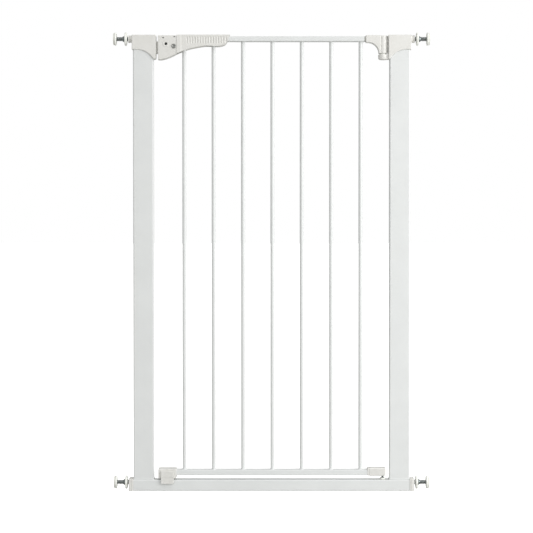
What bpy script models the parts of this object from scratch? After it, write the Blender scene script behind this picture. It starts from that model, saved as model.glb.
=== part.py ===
"""Pressure-fit safety gate: a welded U frame held between two walls by four
screw spindles, and a barred door that hangs on two pins at the right and is
held at the left by a sliding latch and by a fork over the bottom rail.

Metres, +Z up, +X to the right of someone facing the front, which looks
along -Y. The origin is the middle of the bottom rail's underside.
"""

from math import cos, pi, radians, sin

import bmesh
import bpy
from mathutils import Matrix, Vector

# Frame
FRAME_HEIGHT = 1.055
POST_X = 0.29625
POST_WIDTH = 0.0475
POST_DEPTH = 0.020
POST_TOP = 1.036
STEEL_WALL = 0.0015
RAIL_HALF = 0.320
RAIL_DEPTH = 0.025
RAIL_HEIGHT = 0.026

# Plastic corners
CAP_OUTER_X = 0.3225
CAP_DEPTH = 0.026
CAP_EDGE = 0.0018
CAP_ARC_X = 0.313
CAP_ARC_Z = 0.974
CAP_ARC_RADIUS = 0.0476
LEFT_CAP_INNER_X = -0.267
LEFT_CAP_TIP_Z = 1.0008
RIGHT_CAP_INNER_X = 0.2712
RIGHT_CAP_TIP_Z = 0.9995
KEEPER_HALF_DEPTH = 0.0072
KEEPER_LOW = 1.0098
KEEPER_HIGH = 1.0522
COLLAR_END_X = 0.331
COLLAR_RADIUS = 0.009
COLLAR_ROOT = 0.006
END_CAP_HEIGHT = 0.0285
END_CAP_LIP = 0.0012
PLUG_LENGTH = 0.014
PLUG_ROOT = 0.003
PLUG_GAP = 0.001

# Screw spindles
SPINDLE_LOW_Z = 0.019
SPINDLE_HIGH_Z = 1.046
THREAD_RADIUS = 0.0049
THREAD_BORE = 0.0053
BOLT_INNER_X = 0.277
WHEEL_RADIUS = 0.0155
WHEEL_LOBES = 8
LOBE_DEPTH = 0.0011
WHEEL_THICKNESS = 0.005
WHEEL_X = 0.3345
WHEEL_HUB_RADIUS = 0.0085
WHEEL_BORE = 0.0070
NUT_X = WHEEL_X + WHEEL_THICKNESS
NUT_LENGTH = 0.0046
NUT_FLANGE_RADIUS = 0.0079
NUT_FLANGE_THICKNESS = 0.0015
NUT_TIP_RADIUS = 0.0061
NUT_SLEEVE_RADIUS = 0.0067
THREAD_CHAMFER = 0.0008
FOOT_X = 0.3585
FOOT_RADIUS = 0.015
FOOT_THICKNESS = 0.0042
FOOT_EDGE = 0.0012
FOOT_SOCKET_DEPTH = 0.0032
PAD_RADIUS = 0.0138
WALL_X = 0.3655

# Door
HINGE_X = 0.2578
DOOR_DEPTH = 0.020
TOP_RAIL_LEFT = -0.2460
TOP_RAIL_RIGHT = 0.2470
TOP_RAIL_LOW = 1.0398
TOP_RAIL_HIGH = 1.0520
DOOR_RAIL_LEFT = -0.2560
DOOR_RAIL_RIGHT = 0.2500
DOOR_RAIL_LOW = 0.0362
DOOR_RAIL_HIGH = 0.0492
BAR_COUNT = 7
BAR_PITCH = 0.068
BAR_MIDDLE_X = 0.002
BAR_RADIUS = 0.00465
BAR_WALL = 0.0009

# Hinges
RIB_Y = (-0.001, 0.0055)
RIB_TOP = 1.050
BARREL_RADIUS = 0.0094
BARREL_LOW = 1.0125
BARREL_HIGH = 1.0535
SOCKET_RADIUS = 0.0112
SOCKET_LOW = 0.998
SOCKET_HIGH = 1.010
UPPER_PIN_RADIUS = 0.003
UPPER_PIN_Z = (1.0025, 1.0465)
LOWER_PIN_RADIUS = 0.0025
LOWER_PIN_Z = (0.0195, 0.0508)
BUSH_WALL = 0.0012
BUSH_DEPTH = 0.0078
UPPER_FLANGE_RADIUS = 0.0078
LOWER_FLANGE_RADIUS = 0.0063
LOWER_FLANGE_TOP = RAIL_HEIGHT + 0.0036
BRACKET_LEFT = 0.215
BRACKET_RIGHT = 0.252
BRACKET_LOW = 1.0375
BRACKET_HALF_DEPTH = 0.0115
BRACKET_ARC_X = 0.2225
BRACKET_ARC_RADIUS = 0.0252
BLOCK_X = (0.2262, 0.2650)
BLOCK_Z = (0.0345, 0.0535)
BLOCK_HALF_DEPTH = 0.0116
BLOCK_RIM_X = (0.2220, 0.2300)
BLOCK_RIM_STEP = 0.0007

# Moulding on the door's free end, and the fork over the frame's bottom rail
LATCH_BLOCK_X = (-0.2625, -0.2205)
LATCH_BLOCK_Y = (-0.0135, 0.0142)
LATCH_BLOCK_Z = (0.0290, 0.0515)
FORK_X = (-0.2560, -0.2265)
FORK_Z = (0.0170, 0.0467)
FORK_FACE = 0.0138
FORK_THICKNESS = 0.0034
GROOVE_Z = (0.0305, 0.0330)
GROOVE_DEPTH = 0.0008

# Latch
LATCH_TRAVEL = 0.012
HOUSING_LEFT = -0.262
HOUSING_RIGHT = -0.219
HOUSING_TOP = 1.0534
HOUSING_DEPTH = 0.028
GRIP_RIGHT = -0.096
GRIP_DEPTH = 0.030
SHELL_WALL = 0.0022
BOLT_TIP_X = -0.2715
BOLT_HEAD_X = -0.2605
BOLT_HEAD_Z = (1.0120, 1.0402)
BOLT_SHANK_Z = (1.0190, 1.0245)
BOLT_HALF_DEPTH = 0.0060
BOLT_FORK_X = (-0.2240, -0.2100)
BOLT_FORK_HALF_DEPTH = 0.0098
BOLT_EAR_X = -0.2162
BOLT_EAR_HALF_DEPTH = 0.0125
BOLT_SLOT_HALF_DEPTH = 0.0055
SPRING_Z = 1.02735
SPRING_RADIUS = 0.0019
SPRING_WIRE_RADIUS = 0.0004
SPRING_TURNS = 8
RIVET_AT = (-0.2256, 1.0284)
RIVET_HEAD_RADIUS = 0.0057
RIVET_SHANK_RADIUS = 0.0025
HOUSING_SCREW_AT = (-0.2436, 1.0340)
GRIP_SCREWS_AT = ((-0.176, 1.0338), (-0.116, 1.0350))
SCREW_HEAD_RADIUS = 0.0026
SCREW_HEAD_HEIGHT = 0.0018
SCREW_SHANK_RADIUS = 0.0015
SCREW_LENGTH = 0.0185
SCREW_SEAT_Y = 0.0082
SHANK_HOLE = SCREW_SHANK_RADIUS + 0.0003
HEAD_HOLE = SCREW_HEAD_RADIUS + 0.0003
BOSS_RADIUS = 0.0034
BOSS_END_Y = 0.0012
RAIL_WAY_LOW = 1.0145
GRIP_MOUTH_LOW = 1.0178
GRIP_MOUTH_HALF_DEPTH = 0.0115

# Gap between pieces that touch, running clearance, and how far a cutter goes past what it cuts
TOUCH = 0.0003
RUNNING = 0.0004
PAST = 0.010

WHITE_STEEL = ("white_powder_coat", (0.80, 0.81, 0.80), 0.35, 0.0)
WHITE_PLASTIC = ("white_moulding", (0.79, 0.79, 0.75), 0.45, 0.0)
ZINC = ("zinc_plate", (0.42, 0.45, 0.45), 0.35, 1.0)
PALE_RUBBER = ("pale_rubber", (0.74, 0.74, 0.70), 0.8, 0.0)
BRIGHT_STEEL = ("spring_steel", (0.55, 0.55, 0.54), 0.3, 1.0)


# ---------------------------------------------------------------- scene tools


def clear_scene():
    for obj in list(bpy.data.objects):
        bpy.data.objects.remove(obj, do_unlink=True)


def new_collection(name, hidden=False):
    made = bpy.data.collections.new(name)
    made.hide_render = hidden
    bpy.context.scene.collection.children.link(made)
    return made


def material_of(spec):
    name, colour, roughness, metallic = spec
    made = bpy.data.materials.get(name)
    if made is None:
        made = bpy.data.materials.new(name)
        made.use_nodes = True
        shader = made.node_tree.nodes["Principled BSDF"]
        shader.inputs["Base Color"].default_value = (*colour, 1)
        shader.inputs["Roughness"].default_value = roughness
        shader.inputs["Metallic"].default_value = metallic
    return made


def add(name, mesh, spec=None, parent=None):
    """A new object of this mesh: a piece of the gate, or a cutter if it has no material."""
    obj = bpy.data.objects.new(name, mesh)
    (PARTS if spec else CUTTERS).objects.link(obj)
    if spec:
        mesh.materials.append(material_of(spec))
    else:
        obj.hide_render = True
        obj.display_type = "WIRE"
    if parent:
        ride(obj, parent)
    return obj


def ride(obj, parent):
    """Parents the object without moving it."""
    obj.parent = parent
    obj.matrix_parent_inverse = parent.matrix_basis.inverted()


def pivot(name, at):
    """An empty on a joint's axis, for the pieces that move with it."""
    empty = bpy.data.objects.new(name, None)
    empty.location = at
    empty.empty_display_size = 0.02
    PARTS.objects.link(empty)
    return empty


def modifier(obj, kind, **settings):
    made = obj.modifiers.new(kind.title(), kind)
    for key, value in settings.items():
        setattr(made, key, value)
    return made


def round_edges(obj, width, segments=2, angle=35):
    modifier(
        obj, "BEVEL", width=width, segments=segments, limit_method="ANGLE", angle_limit=radians(angle)
    )
    obj.data.shade_smooth()
    obj.data.set_sharp_from_angle(angle=radians(angle))


def cut(obj, *cutters):
    for cutter in cutters:
        modifier(obj, "BOOLEAN", operation="DIFFERENCE", object=cutter)


def join(obj, *others):
    for other in others:
        modifier(obj, "BOOLEAN", operation="UNION", object=other)


# --------------------------------------------------------------------- shapes


def box_mesh(name, low, high):
    low, high = Vector(low), Vector(high)
    made = bmesh.new()
    bmesh.ops.create_cube(made, size=1)
    bmesh.ops.scale(made, vec=high - low, verts=made.verts)
    bmesh.ops.translate(made, vec=(high + low) / 2, verts=made.verts)
    return mesh_from(made, name)


def mesh_from(made, name):
    mesh = bpy.data.meshes.new(name)
    made.to_mesh(mesh)
    made.free()
    return mesh


def box(name, low, high, spec=None, parent=None, edge=0.0):
    obj = add(name, box_mesh(name, low, high), spec, parent)
    if edge:
        round_edges(obj, edge)
    return obj


def rod(name, radius, start, end, spec=None, parent=None, sides=24):
    """A solid cylinder from start to end."""
    start, end = Vector(start), Vector(end)
    made = bmesh.new()
    bmesh.ops.create_cone(
        made,
        cap_ends=True,
        segments=sides,
        radius1=radius,
        radius2=radius,
        depth=(end - start).length,
    )
    turn = Vector((0, 0, 1)).rotation_difference(end - start).to_matrix().to_4x4()
    bmesh.ops.transform(made, matrix=Matrix.Translation((start + end) / 2) @ turn, verts=made.verts)
    mesh = mesh_from(made, name)
    mesh.shade_smooth()
    mesh.set_sharp_from_angle(angle=radians(40))
    return add(name, mesh, spec, parent)


def turned(name, profile, base, axis, spec=None, parent=None, ring=False, sides=24):
    """A profile of (radius, distance along the axis) turned about the axis through base.

    The profile runs down its outer side, from the far end of the axis. A ring's
    comes back up its inner side, and its last point joins its first.
    """
    made = bmesh.new()
    points = [made.verts.new((radius, 0, along)) for radius, along in profile]
    for first, second in zip(points, points[1:]):
        made.edges.new((first, second))
    if ring:
        made.edges.new((points[-1], points[0]))
    obj = add(name, mesh_from(made, name), spec, None)
    modifier(
        obj,
        "SCREW",
        steps=sides,
        render_steps=sides,
        use_merge_vertices=not ring,
        merge_threshold=0.00001,
        use_smooth_shade=True,
    )
    if ring:
        modifier(obj, "WELD", merge_threshold=0.00001)
    obj.location = base
    obj.rotation_euler = Vector((0, 0, 1)).rotation_difference(Vector(axis)).to_euler()
    if parent:
        ride(obj, parent)
    return obj


def plate(name, outline, low_y, high_y, spec=None, parent=None, edge=0.0):
    """A closed outline of (x, z) points, filled and given thickness from low_y to high_y."""
    curve = bpy.data.curves.new(name, "CURVE")
    curve.dimensions = "2D"
    curve.fill_mode = "BOTH"
    curve.extrude = (high_y - low_y) / 2
    spline = curve.splines.new("POLY")
    spline.points.add(len(outline) - 1)
    for point, (x, z) in zip(spline.points, outline):
        point.co = (x, z, 0, 1)
    spline.use_cyclic_u = True
    guide = bpy.data.objects.new(name + "_outline", curve)
    guide.location = (0, (low_y + high_y) / 2, 0)
    guide.rotation_euler = (pi / 2, 0, 0)
    CUTTERS.objects.link(guide)
    bpy.context.view_layer.update()
    evaluated = guide.evaluated_get(bpy.context.evaluated_depsgraph_get())
    mesh = bpy.data.meshes.new_from_object(evaluated)
    mesh.name = name
    mesh.transform(guide.matrix_world)
    mesh.materials.clear()
    made = bmesh.new()
    made.from_mesh(mesh)
    bmesh.ops.remove_doubles(made, verts=made.verts, dist=0.00001)
    bmesh.ops.dissolve_limit(made, angle_limit=radians(0.5), verts=made.verts, edges=made.edges)
    bmesh.ops.recalc_face_normals(made, faces=made.faces)
    made.to_mesh(mesh)
    made.free()
    bpy.data.objects.remove(guide)
    obj = add(name, mesh, spec, parent)
    if edge:
        round_edges(obj, edge)
    return obj


def rail_tube(name, low, high, axis, spec, parent=None, corner=0.0025):
    """A rectangular tube of folded sheet, open at both ends of its axis (0 for X, 2 for Z)."""
    made = bmesh.new()
    made.from_mesh(box_mesh(name, low, high))
    along = [e for e in made.edges if abs((e.verts[0].co - e.verts[1].co)[axis]) > 0.001]
    bmesh.ops.bevel(made, geom=along, offset=corner, segments=3, profile=0.5, affect="EDGES")
    ends = [f for f in made.faces if abs(f.normal[axis]) > 0.9]
    bmesh.ops.delete(made, geom=ends, context="FACES")
    obj = add(name, mesh_from(made, name), spec, parent)
    modifier(obj, "SOLIDIFY", thickness=STEEL_WALL, offset=-1, use_even_offset=True)
    obj.data.shade_smooth()
    obj.data.set_sharp_from_angle(angle=radians(40))
    return obj


def arc(x, z, radius, start, end, steps):
    """Points on a circle, from one angle to the other in degrees."""
    angles = [radians(start + (end - start) * i / steps) for i in range(steps + 1)]
    return [(x + radius * cos(a), z + radius * sin(a)) for a in angles]


def smooth_line(points, steps=3):
    """A smooth curve through the points, which it keeps."""
    ends = [points[0], *points, points[-1]]
    line = []
    for before, start, end, after in zip(ends, ends[1:], ends[2:], ends[3:]):
        for i in range(steps):
            t = i / steps
            line.append(
                tuple(
                    0.5
                    * (
                        2 * s
                        + (e - b) * t
                        + (2 * b - 5 * s + 4 * e - a) * t**2
                        + (3 * s - b - 3 * e + a) * t**3
                    )
                    for b, s, e, a in zip(before, start, end, after)
                )
            )
    return line + [points[-1]]


# ---------------------------------------------------------------------- frame


def build_posts():
    for side, x in (("left", -POST_X), ("right", POST_X)):
        rail_tube(
            f"{side}_post",
            (x - POST_WIDTH / 2, -POST_DEPTH / 2, RAIL_HEIGHT + TOUCH),
            (x + POST_WIDTH / 2, POST_DEPTH / 2, POST_TOP),
            2,
            WHITE_STEEL,
        )


def build_bottom_rail():
    rail = rail_tube(
        "bottom_rail",
        (-RAIL_HALF, -RAIL_DEPTH / 2, 0),
        (RAIL_HALF, RAIL_DEPTH / 2, RAIL_HEIGHT),
        0,
        WHITE_STEEL,
    )
    hole = LOWER_PIN_RADIUS + RUNNING + BUSH_WALL + TOUCH
    cut(rail, rod("bush_hole", hole, (HINGE_X, 0, RAIL_HEIGHT / 2), (HINGE_X, 0, RAIL_HEIGHT * 2)))


def cap_arc(side):
    """The concave lower edge of a corner cap, from the tip to the outer side."""
    points = arc(-CAP_ARC_X, CAP_ARC_Z, CAP_ARC_RADIUS, 31, 101.5, 9)
    points[-1] = (-CAP_OUTER_X, points[-1][1])
    return [(x * -side, z) for x, z in points]


def post_pocket(side):
    half = POST_WIDTH / 2 + TOUCH
    deep = POST_DEPTH / 2 + TOUCH
    x = side * POST_X
    low = CAP_ARC_Z
    return box(f"post_pocket_{side}", (x - half, -deep, low), (x + half, deep, POST_TOP + TOUCH))


def upper_bore(side):
    start = (side * (BOLT_INNER_X - RUNNING), 0, SPINDLE_HIGH_Z)
    end = (side * (COLLAR_END_X + PAST), 0, SPINDLE_HIGH_Z)
    return rod(f"upper_bore_{side}", THREAD_BORE, start, end)


def collar(side):
    start = (side * (CAP_OUTER_X - COLLAR_ROOT), 0, SPINDLE_HIGH_Z)
    end = (side * COLLAR_END_X, 0, SPINDLE_HIGH_Z)
    return rod(f"collar_{side}", COLLAR_RADIUS, start, end)


def build_left_cap():
    outline = [
        (-CAP_OUTER_X, FRAME_HEIGHT),
        (LEFT_CAP_INNER_X, FRAME_HEIGHT),
        (LEFT_CAP_INNER_X, LEFT_CAP_TIP_Z),
        *cap_arc(-1),
    ]
    cap = plate("left_corner_cap", outline, -CAP_DEPTH / 2, CAP_DEPTH / 2, WHITE_PLASTIC, edge=CAP_EDGE)
    keeper = box(
        "keeper_pocket",
        (-POST_X + POST_WIDTH / 2 - TOUCH, -KEEPER_HALF_DEPTH, KEEPER_LOW),
        (LEFT_CAP_INNER_X + PAST, KEEPER_HALF_DEPTH, KEEPER_HIGH),
    )
    join(cap, collar(-1))
    cut(cap, post_pocket(-1), upper_bore(-1), keeper)


def build_right_cap():
    outline = [
        (CAP_OUTER_X, FRAME_HEIGHT),
        (RIGHT_CAP_INNER_X, FRAME_HEIGHT),
        (RIGHT_CAP_INNER_X, RIGHT_CAP_TIP_Z),
        *cap_arc(1)[1:],
    ]
    cap = plate("right_corner_cap", outline, -CAP_DEPTH / 2, CAP_DEPTH / 2, WHITE_PLASTIC, edge=CAP_EDGE)
    cup = rod("hinge_cup", SOCKET_RADIUS, (HINGE_X, 0, SOCKET_LOW), (HINGE_X, 0, SOCKET_HIGH))
    round_edges(cup, 0.002)
    bridge_half, bridge_end, floor = 0.009, RIGHT_CAP_INNER_X + 0.002, 0.0018
    bridge = box(
        "cup_bridge",
        (HINGE_X, -bridge_half, SOCKET_LOW + 0.0005),
        (bridge_end, bridge_half, SOCKET_HIGH),
        edge=0.001,
    )
    rib_left = HINGE_X + BARREL_RADIUS + RUNNING
    rib = box("barrel_rib", (rib_left, RIB_Y[0], SOCKET_LOW + 0.001), (bridge_end, RIB_Y[1], RIB_TOP))
    sleeve = UPPER_PIN_RADIUS + RUNNING + BUSH_WALL + TOUCH
    pin_hole = rod("cup_bore", sleeve, (HINGE_X, 0, SOCKET_LOW + floor), (HINGE_X, 0, SOCKET_HIGH + PAST))
    join(cap, collar(1), cup, bridge, rib)
    cut(cap, post_pocket(1), upper_bore(1), pin_hole)


def build_end_caps():
    inside = STEEL_WALL + TOUCH + PLUG_GAP
    for side, name in ((-1, "left_rail_end_cap"), (1, "right_rail_end_cap")):
        low_x, high_x = sorted((side * (RAIL_HALF + TOUCH), side * COLLAR_END_X))
        half = RAIL_DEPTH / 2 + END_CAP_LIP
        cap = box(name, (low_x, -half, 0), (high_x, half, END_CAP_HEIGHT), WHITE_PLASTIC, edge=0.0016)
        low_x, high_x = sorted((side * (RAIL_HALF - PLUG_LENGTH), side * (RAIL_HALF + PLUG_ROOT)))
        plug = box(
            f"{name}_plug",
            (low_x, -RAIL_DEPTH / 2 + inside, inside),
            (high_x, RAIL_DEPTH / 2 - inside, SPINDLE_LOW_Z),
        )
        join(cap, plug)
        start = (side * (RAIL_HALF - PLUG_LENGTH - PAST), 0, SPINDLE_LOW_Z)
        end = (side * (COLLAR_END_X + PAST), 0, SPINDLE_LOW_Z)
        cut(cap, rod(f"{name}_bore", THREAD_BORE, start, end))


def bush(name, pin_radius, flange_radius, flange_low, flange_high):
    """A flanged plastic bush whose sleeve goes down into its hole."""
    inner = pin_radius + RUNNING
    outer = inner + BUSH_WALL
    profile = [
        (flange_radius, flange_high),
        (flange_radius, flange_low),
        (outer, flange_low),
        (outer, flange_low - BUSH_DEPTH),
        (inner, flange_low - BUSH_DEPTH),
        (inner, flange_high),
    ]
    turned(name, profile, (HINGE_X, 0, 0), (0, 0, 1), WHITE_PLASTIC, ring=True)


def build_bushes():
    low, high = SOCKET_HIGH + TOUCH, BARREL_LOW - TOUCH
    bush("upper_hinge_bush", UPPER_PIN_RADIUS, UPPER_FLANGE_RADIUS, low, high)
    low, high = RAIL_HEIGHT + TOUCH, LOWER_FLANGE_TOP
    bush("lower_hinge_bush", LOWER_PIN_RADIUS, LOWER_FLANGE_RADIUS, low, high)


# ------------------------------------------------------------------- spindles


def wheel_outline():
    """A round wheel with shallow finger hollows, as (distance, distance) across its axis."""
    count = WHEEL_LOBES * 4
    points = []
    for i in range(count):
        angle = 2 * pi * i / count
        radius = WHEEL_RADIUS - LOBE_DEPTH * (1 - cos(WHEEL_LOBES * angle)) / 2
        points.append((radius * cos(angle), radius * sin(angle)))
    return points


def build_hand_wheel(name, base, axis, parent):
    """The moulded wheel, whose hub bears on the collar of the corner."""
    base, axis = Vector(base), Vector(axis)
    hub_length, hub_root = WHEEL_X - COLLAR_END_X - TOUCH, 0.002
    wheel = plate(name, wheel_outline(), -WHEEL_THICKNESS, 0, WHITE_PLASTIC)
    round_edges(wheel, 0.0011, segments=1)
    # the outline's plane is turned across the spindle, with its thickness outwards
    wheel.matrix_basis = Matrix.Translation(base) @ face_turn(axis)
    ride(wheel, parent)
    hub = rod(f"{name}_hub", WHEEL_HUB_RADIUS, base - axis * hub_length, base + axis * hub_root)
    bore = rod(f"{name}_bore", WHEEL_BORE, base - axis * PAST, base + axis * PAST)
    join(wheel, hub)
    cut(wheel, bore)


def face_turn(axis):
    """Turns a plate's -Y face to look along the axis."""
    return Vector((0, -1, 0)).rotation_difference(axis).to_matrix().to_4x4()


def build_nut(name, base, axis, parent):
    """The steel flange nut pressed into the wheel, with its cone outwards."""
    sleeve_end = -WHEEL_THICKNESS - 0.001
    profile = [
        (NUT_TIP_RADIUS, NUT_LENGTH),
        (NUT_FLANGE_RADIUS, NUT_FLANGE_THICKNESS),
        (NUT_FLANGE_RADIUS, TOUCH),
        (NUT_SLEEVE_RADIUS, TOUCH),
        (NUT_SLEEVE_RADIUS, sleeve_end),
        (THREAD_BORE, sleeve_end),
        (THREAD_BORE, NUT_LENGTH),
    ]
    turned(name, profile, base, axis, ZINC, parent, ring=True, sides=20)


def build_bolt(name, z, side, parent):
    """The threaded rod, which slides in the corner's bore and doesn't turn."""
    length = FOOT_X + FOOT_SOCKET_DEPTH - RUNNING - BOLT_INNER_X
    profile = [
        (0, length),
        (THREAD_RADIUS - THREAD_CHAMFER, length),
        (THREAD_RADIUS, length - THREAD_CHAMFER),
        (THREAD_RADIUS, THREAD_CHAMFER),
        (THREAD_RADIUS - THREAD_CHAMFER, 0),
        (0, 0),
    ]
    turned(name, profile, (side * BOLT_INNER_X, 0, z), (side, 0, 0), ZINC, parent, sides=20)


def build_foot(name, z, side, parent):
    """The moulded disc on the rod's end."""
    profile = [
        (0, FOOT_THICKNESS),
        (FOOT_RADIUS - FOOT_EDGE, FOOT_THICKNESS),
        (FOOT_RADIUS, FOOT_THICKNESS - FOOT_EDGE),
        (FOOT_RADIUS, FOOT_EDGE),
        (FOOT_RADIUS - FOOT_EDGE, 0),
        (THREAD_BORE, 0),
        (THREAD_BORE, FOOT_SOCKET_DEPTH),
        (0, FOOT_SOCKET_DEPTH),
    ]
    turned(name, profile, (side * FOOT_X, 0, z), (side, 0, 0), WHITE_PLASTIC, parent)


def build_pad(name, z, side, parent):
    """The soft disc that bears on the wall."""
    start = FOOT_X + FOOT_THICKNESS + TOUCH
    rod(name, PAD_RADIUS, (side * start, 0, z), (side * WALL_X, 0, z), PALE_RUBBER, parent)


def build_spindles():
    for level, z in (("lower", SPINDLE_LOW_Z), ("upper", SPINDLE_HIGH_Z)):
        for word, side in (("left", -1), ("right", 1)):
            prefix = f"{level}_{word}"
            axis = (side, 0, 0)
            turning = pivot(f"{prefix}_wheel_pivot", (side * WHEEL_X, 0, z))
            sliding = pivot(f"{prefix}_spindle_slide", (side * FOOT_X, 0, z))
            build_hand_wheel(f"{prefix}_hand_wheel", (side * WHEEL_X, 0, z), axis, turning)
            build_nut(f"{prefix}_wheel_nut", (side * NUT_X, 0, z), axis, turning)
            build_bolt(f"{prefix}_spindle_bolt", z, side, sliding)
            build_foot(f"{prefix}_spindle_foot", z, side, sliding)
            build_pad(f"{prefix}_foot_pad", z, side, sliding)


# ----------------------------------------------------------------------- door


def build_hinge_pins(parent):
    for name, radius, (low, high) in (
        ("upper_hinge_pin", UPPER_PIN_RADIUS, UPPER_PIN_Z),
        ("lower_hinge_pin", LOWER_PIN_RADIUS, LOWER_PIN_Z),
    ):
        rod(name, radius, (HINGE_X, 0, low), (HINGE_X, 0, high), ZINC, parent)


def build_door_rails(parent):
    half = DOOR_DEPTH / 2
    rail_tube(
        "door_top_rail",
        (TOP_RAIL_LEFT, -half, TOP_RAIL_LOW),
        (TOP_RAIL_RIGHT, half, TOP_RAIL_HIGH),
        0,
        WHITE_STEEL,
        parent,
        corner=0.0018,
    )
    rail_tube(
        "door_bottom_rail",
        (DOOR_RAIL_LEFT, -half, DOOR_RAIL_LOW),
        (DOOR_RAIL_RIGHT, half, DOOR_RAIL_HIGH),
        0,
        WHITE_STEEL,
        parent,
        corner=0.0018,
    )


def bar_x(number):
    """The place of a bar, counted from 1 at the left."""
    return BAR_MIDDLE_X + (number - (BAR_COUNT + 1) / 2) * BAR_PITCH


def build_bars(parent):
    low, high = DOOR_RAIL_HIGH + TOUCH, TOP_RAIL_LOW - TOUCH
    inner = BAR_RADIUS - BAR_WALL
    profile = [(BAR_RADIUS, high), (BAR_RADIUS, low), (inner, low), (inner, high)]
    for number in range(1, BAR_COUNT + 1):
        turned(
            f"door_bar_{number}",
            profile,
            (bar_x(number), 0, 0),
            (0, 0, 1),
            WHITE_STEEL,
            parent,
            ring=True,
            sides=16,
        )


def build_upper_bracket(parent):
    """The end moulding of the top rail, with the barrel that turns on the upper pin."""
    depth, top = BRACKET_HALF_DEPTH, FRAME_HEIGHT - 2 * TOUCH
    outline = [
        (BRACKET_RIGHT, top),
        (BRACKET_LEFT, top),
        (BRACKET_LEFT, BRACKET_LOW),
        *arc(BRACKET_ARC_X, BARREL_LOW, BRACKET_ARC_RADIUS, 90, 0, 8),
        (BRACKET_RIGHT, BARREL_LOW),
    ]
    bracket = plate("upper_hinge_bracket", outline, -depth, depth, WHITE_PLASTIC, parent, edge=0.0014)
    barrel = rod("hinge_barrel", BARREL_RADIUS, (HINGE_X, 0, BARREL_LOW), (HINGE_X, 0, BARREL_HIGH))
    round_edges(barrel, 0.0008)
    pocket = box(
        "bracket_pocket",
        (BRACKET_LEFT - PAST, -DOOR_DEPTH / 2 - TOUCH, TOP_RAIL_LOW - TOUCH),
        (TOP_RAIL_RIGHT + TOUCH, DOOR_DEPTH / 2 + TOUCH, TOP_RAIL_HIGH + TOUCH),
    )
    bore_top = UPPER_PIN_Z[1] + 0.0025
    bore = rod(
        "barrel_bore", UPPER_PIN_RADIUS + RUNNING, (HINGE_X, 0, BARREL_LOW - PAST), (HINGE_X, 0, bore_top)
    )
    join(bracket, barrel)
    cut(bracket, pocket, bore)


def build_lower_block(parent):
    """The end moulding of the bottom rail, which stands on the lower pin."""
    (left, right), (low, high), depth, step = BLOCK_X, BLOCK_Z, BLOCK_HALF_DEPTH, BLOCK_RIM_STEP
    name = "lower_hinge_block"
    block = box(name, (left, -depth, low), (right, depth, high), WHITE_PLASTIC, parent, edge=0.003)
    rim = box(
        "block_rim",
        (BLOCK_RIM_X[0], -depth + step, low + step),
        (BLOCK_RIM_X[1], depth - step, high - step),
        edge=0.001,
    )
    pocket = box(
        "block_pocket",
        (BLOCK_RIM_X[0] - PAST, -DOOR_DEPTH / 2 - TOUCH, DOOR_RAIL_LOW - TOUCH),
        (DOOR_RAIL_RIGHT + TOUCH, DOOR_DEPTH / 2 + TOUCH, DOOR_RAIL_HIGH + TOUCH),
    )
    bore_top = LOWER_PIN_Z[1] + BLOCK_RIM_STEP
    bore = rod("block_bore", LOWER_PIN_RADIUS + RUNNING, (HINGE_X, 0, low - PAST), (HINGE_X, 0, bore_top))
    join(block, rim)
    cut(block, pocket, bore)


def build_latch_block(parent):
    """The moulding on the bottom rail's free end, with the fork's rear leg."""
    corners = zip(LATCH_BLOCK_X, LATCH_BLOCK_Y, LATCH_BLOCK_Z)
    block = box("bottom_latch_block", *corners, WHITE_PLASTIC, parent, edge=0.0016)
    leg = box(
        "fork_leg",
        (FORK_X[0], FORK_FACE, FORK_Z[0]),
        (FORK_X[1], FORK_FACE + FORK_THICKNESS, FORK_Z[1]),
        edge=0.001,
    )
    pocket = box(
        "latch_block_pocket",
        (DOOR_RAIL_LEFT - TOUCH, -DOOR_DEPTH / 2 - TOUCH, DOOR_RAIL_LOW - TOUCH),
        (LATCH_BLOCK_X[1] + PAST, DOOR_DEPTH / 2 + TOUCH, DOOR_RAIL_HIGH + TOUCH),
    )
    join(block, leg)
    cut(block, pocket)


def build_stop(parent):
    """The clip on the front of the latch block: the fork's front leg."""
    front = -FORK_FACE - FORK_THICKNESS
    stop = box(
        "bottom_stop",
        (FORK_X[0], front, FORK_Z[0]),
        (FORK_X[1], -FORK_FACE, FORK_Z[1]),
        WHITE_PLASTIC,
        parent,
        edge=0.001,
    )
    margin = 0.003
    groove = box(
        "stop_groove",
        (FORK_X[0] + margin, front - PAST, GROOVE_Z[0]),
        (FORK_X[1] - margin, front + GROOVE_DEPTH, GROOVE_Z[1]),
    )
    cut(stop, groove)


# -------------------------------------------------------------- latch and grip


def inset_outline(outline, amount):
    """The outline moved inwards by the amount. Its points run anticlockwise.

    Points that crowd together on a tight bend are dropped.
    """
    moved = []
    count = len(outline)
    for i, point in enumerate(outline):
        here = Vector(point)
        before = (here - Vector(outline[i - 1])).normalized()
        after = (Vector(outline[(i + 1) % count]) - here).normalized()
        normal_before = Vector((-before.y, before.x))
        normal_after = Vector((-after.y, after.x))
        middle = (normal_before + normal_after).normalized()
        inside = here + middle * amount / max(middle.dot(normal_after), 0.35)
        if not moved or (inside - Vector(moved[-1])).length > amount:
            moved.append(tuple(inside))
    return moved


def housing_outline():
    lower = smooth_line(
        [
            (HOUSING_LEFT, 0.9980),
            (-0.2530, 0.9983),
            (-0.2410, 1.0015),
            (-0.2300, 1.0060),
            (HOUSING_RIGHT - TOUCH, 1.0118),
        ]
    )
    return [*lower, (HOUSING_RIGHT - TOUCH, HOUSING_TOP), (HOUSING_LEFT, HOUSING_TOP)]


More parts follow.
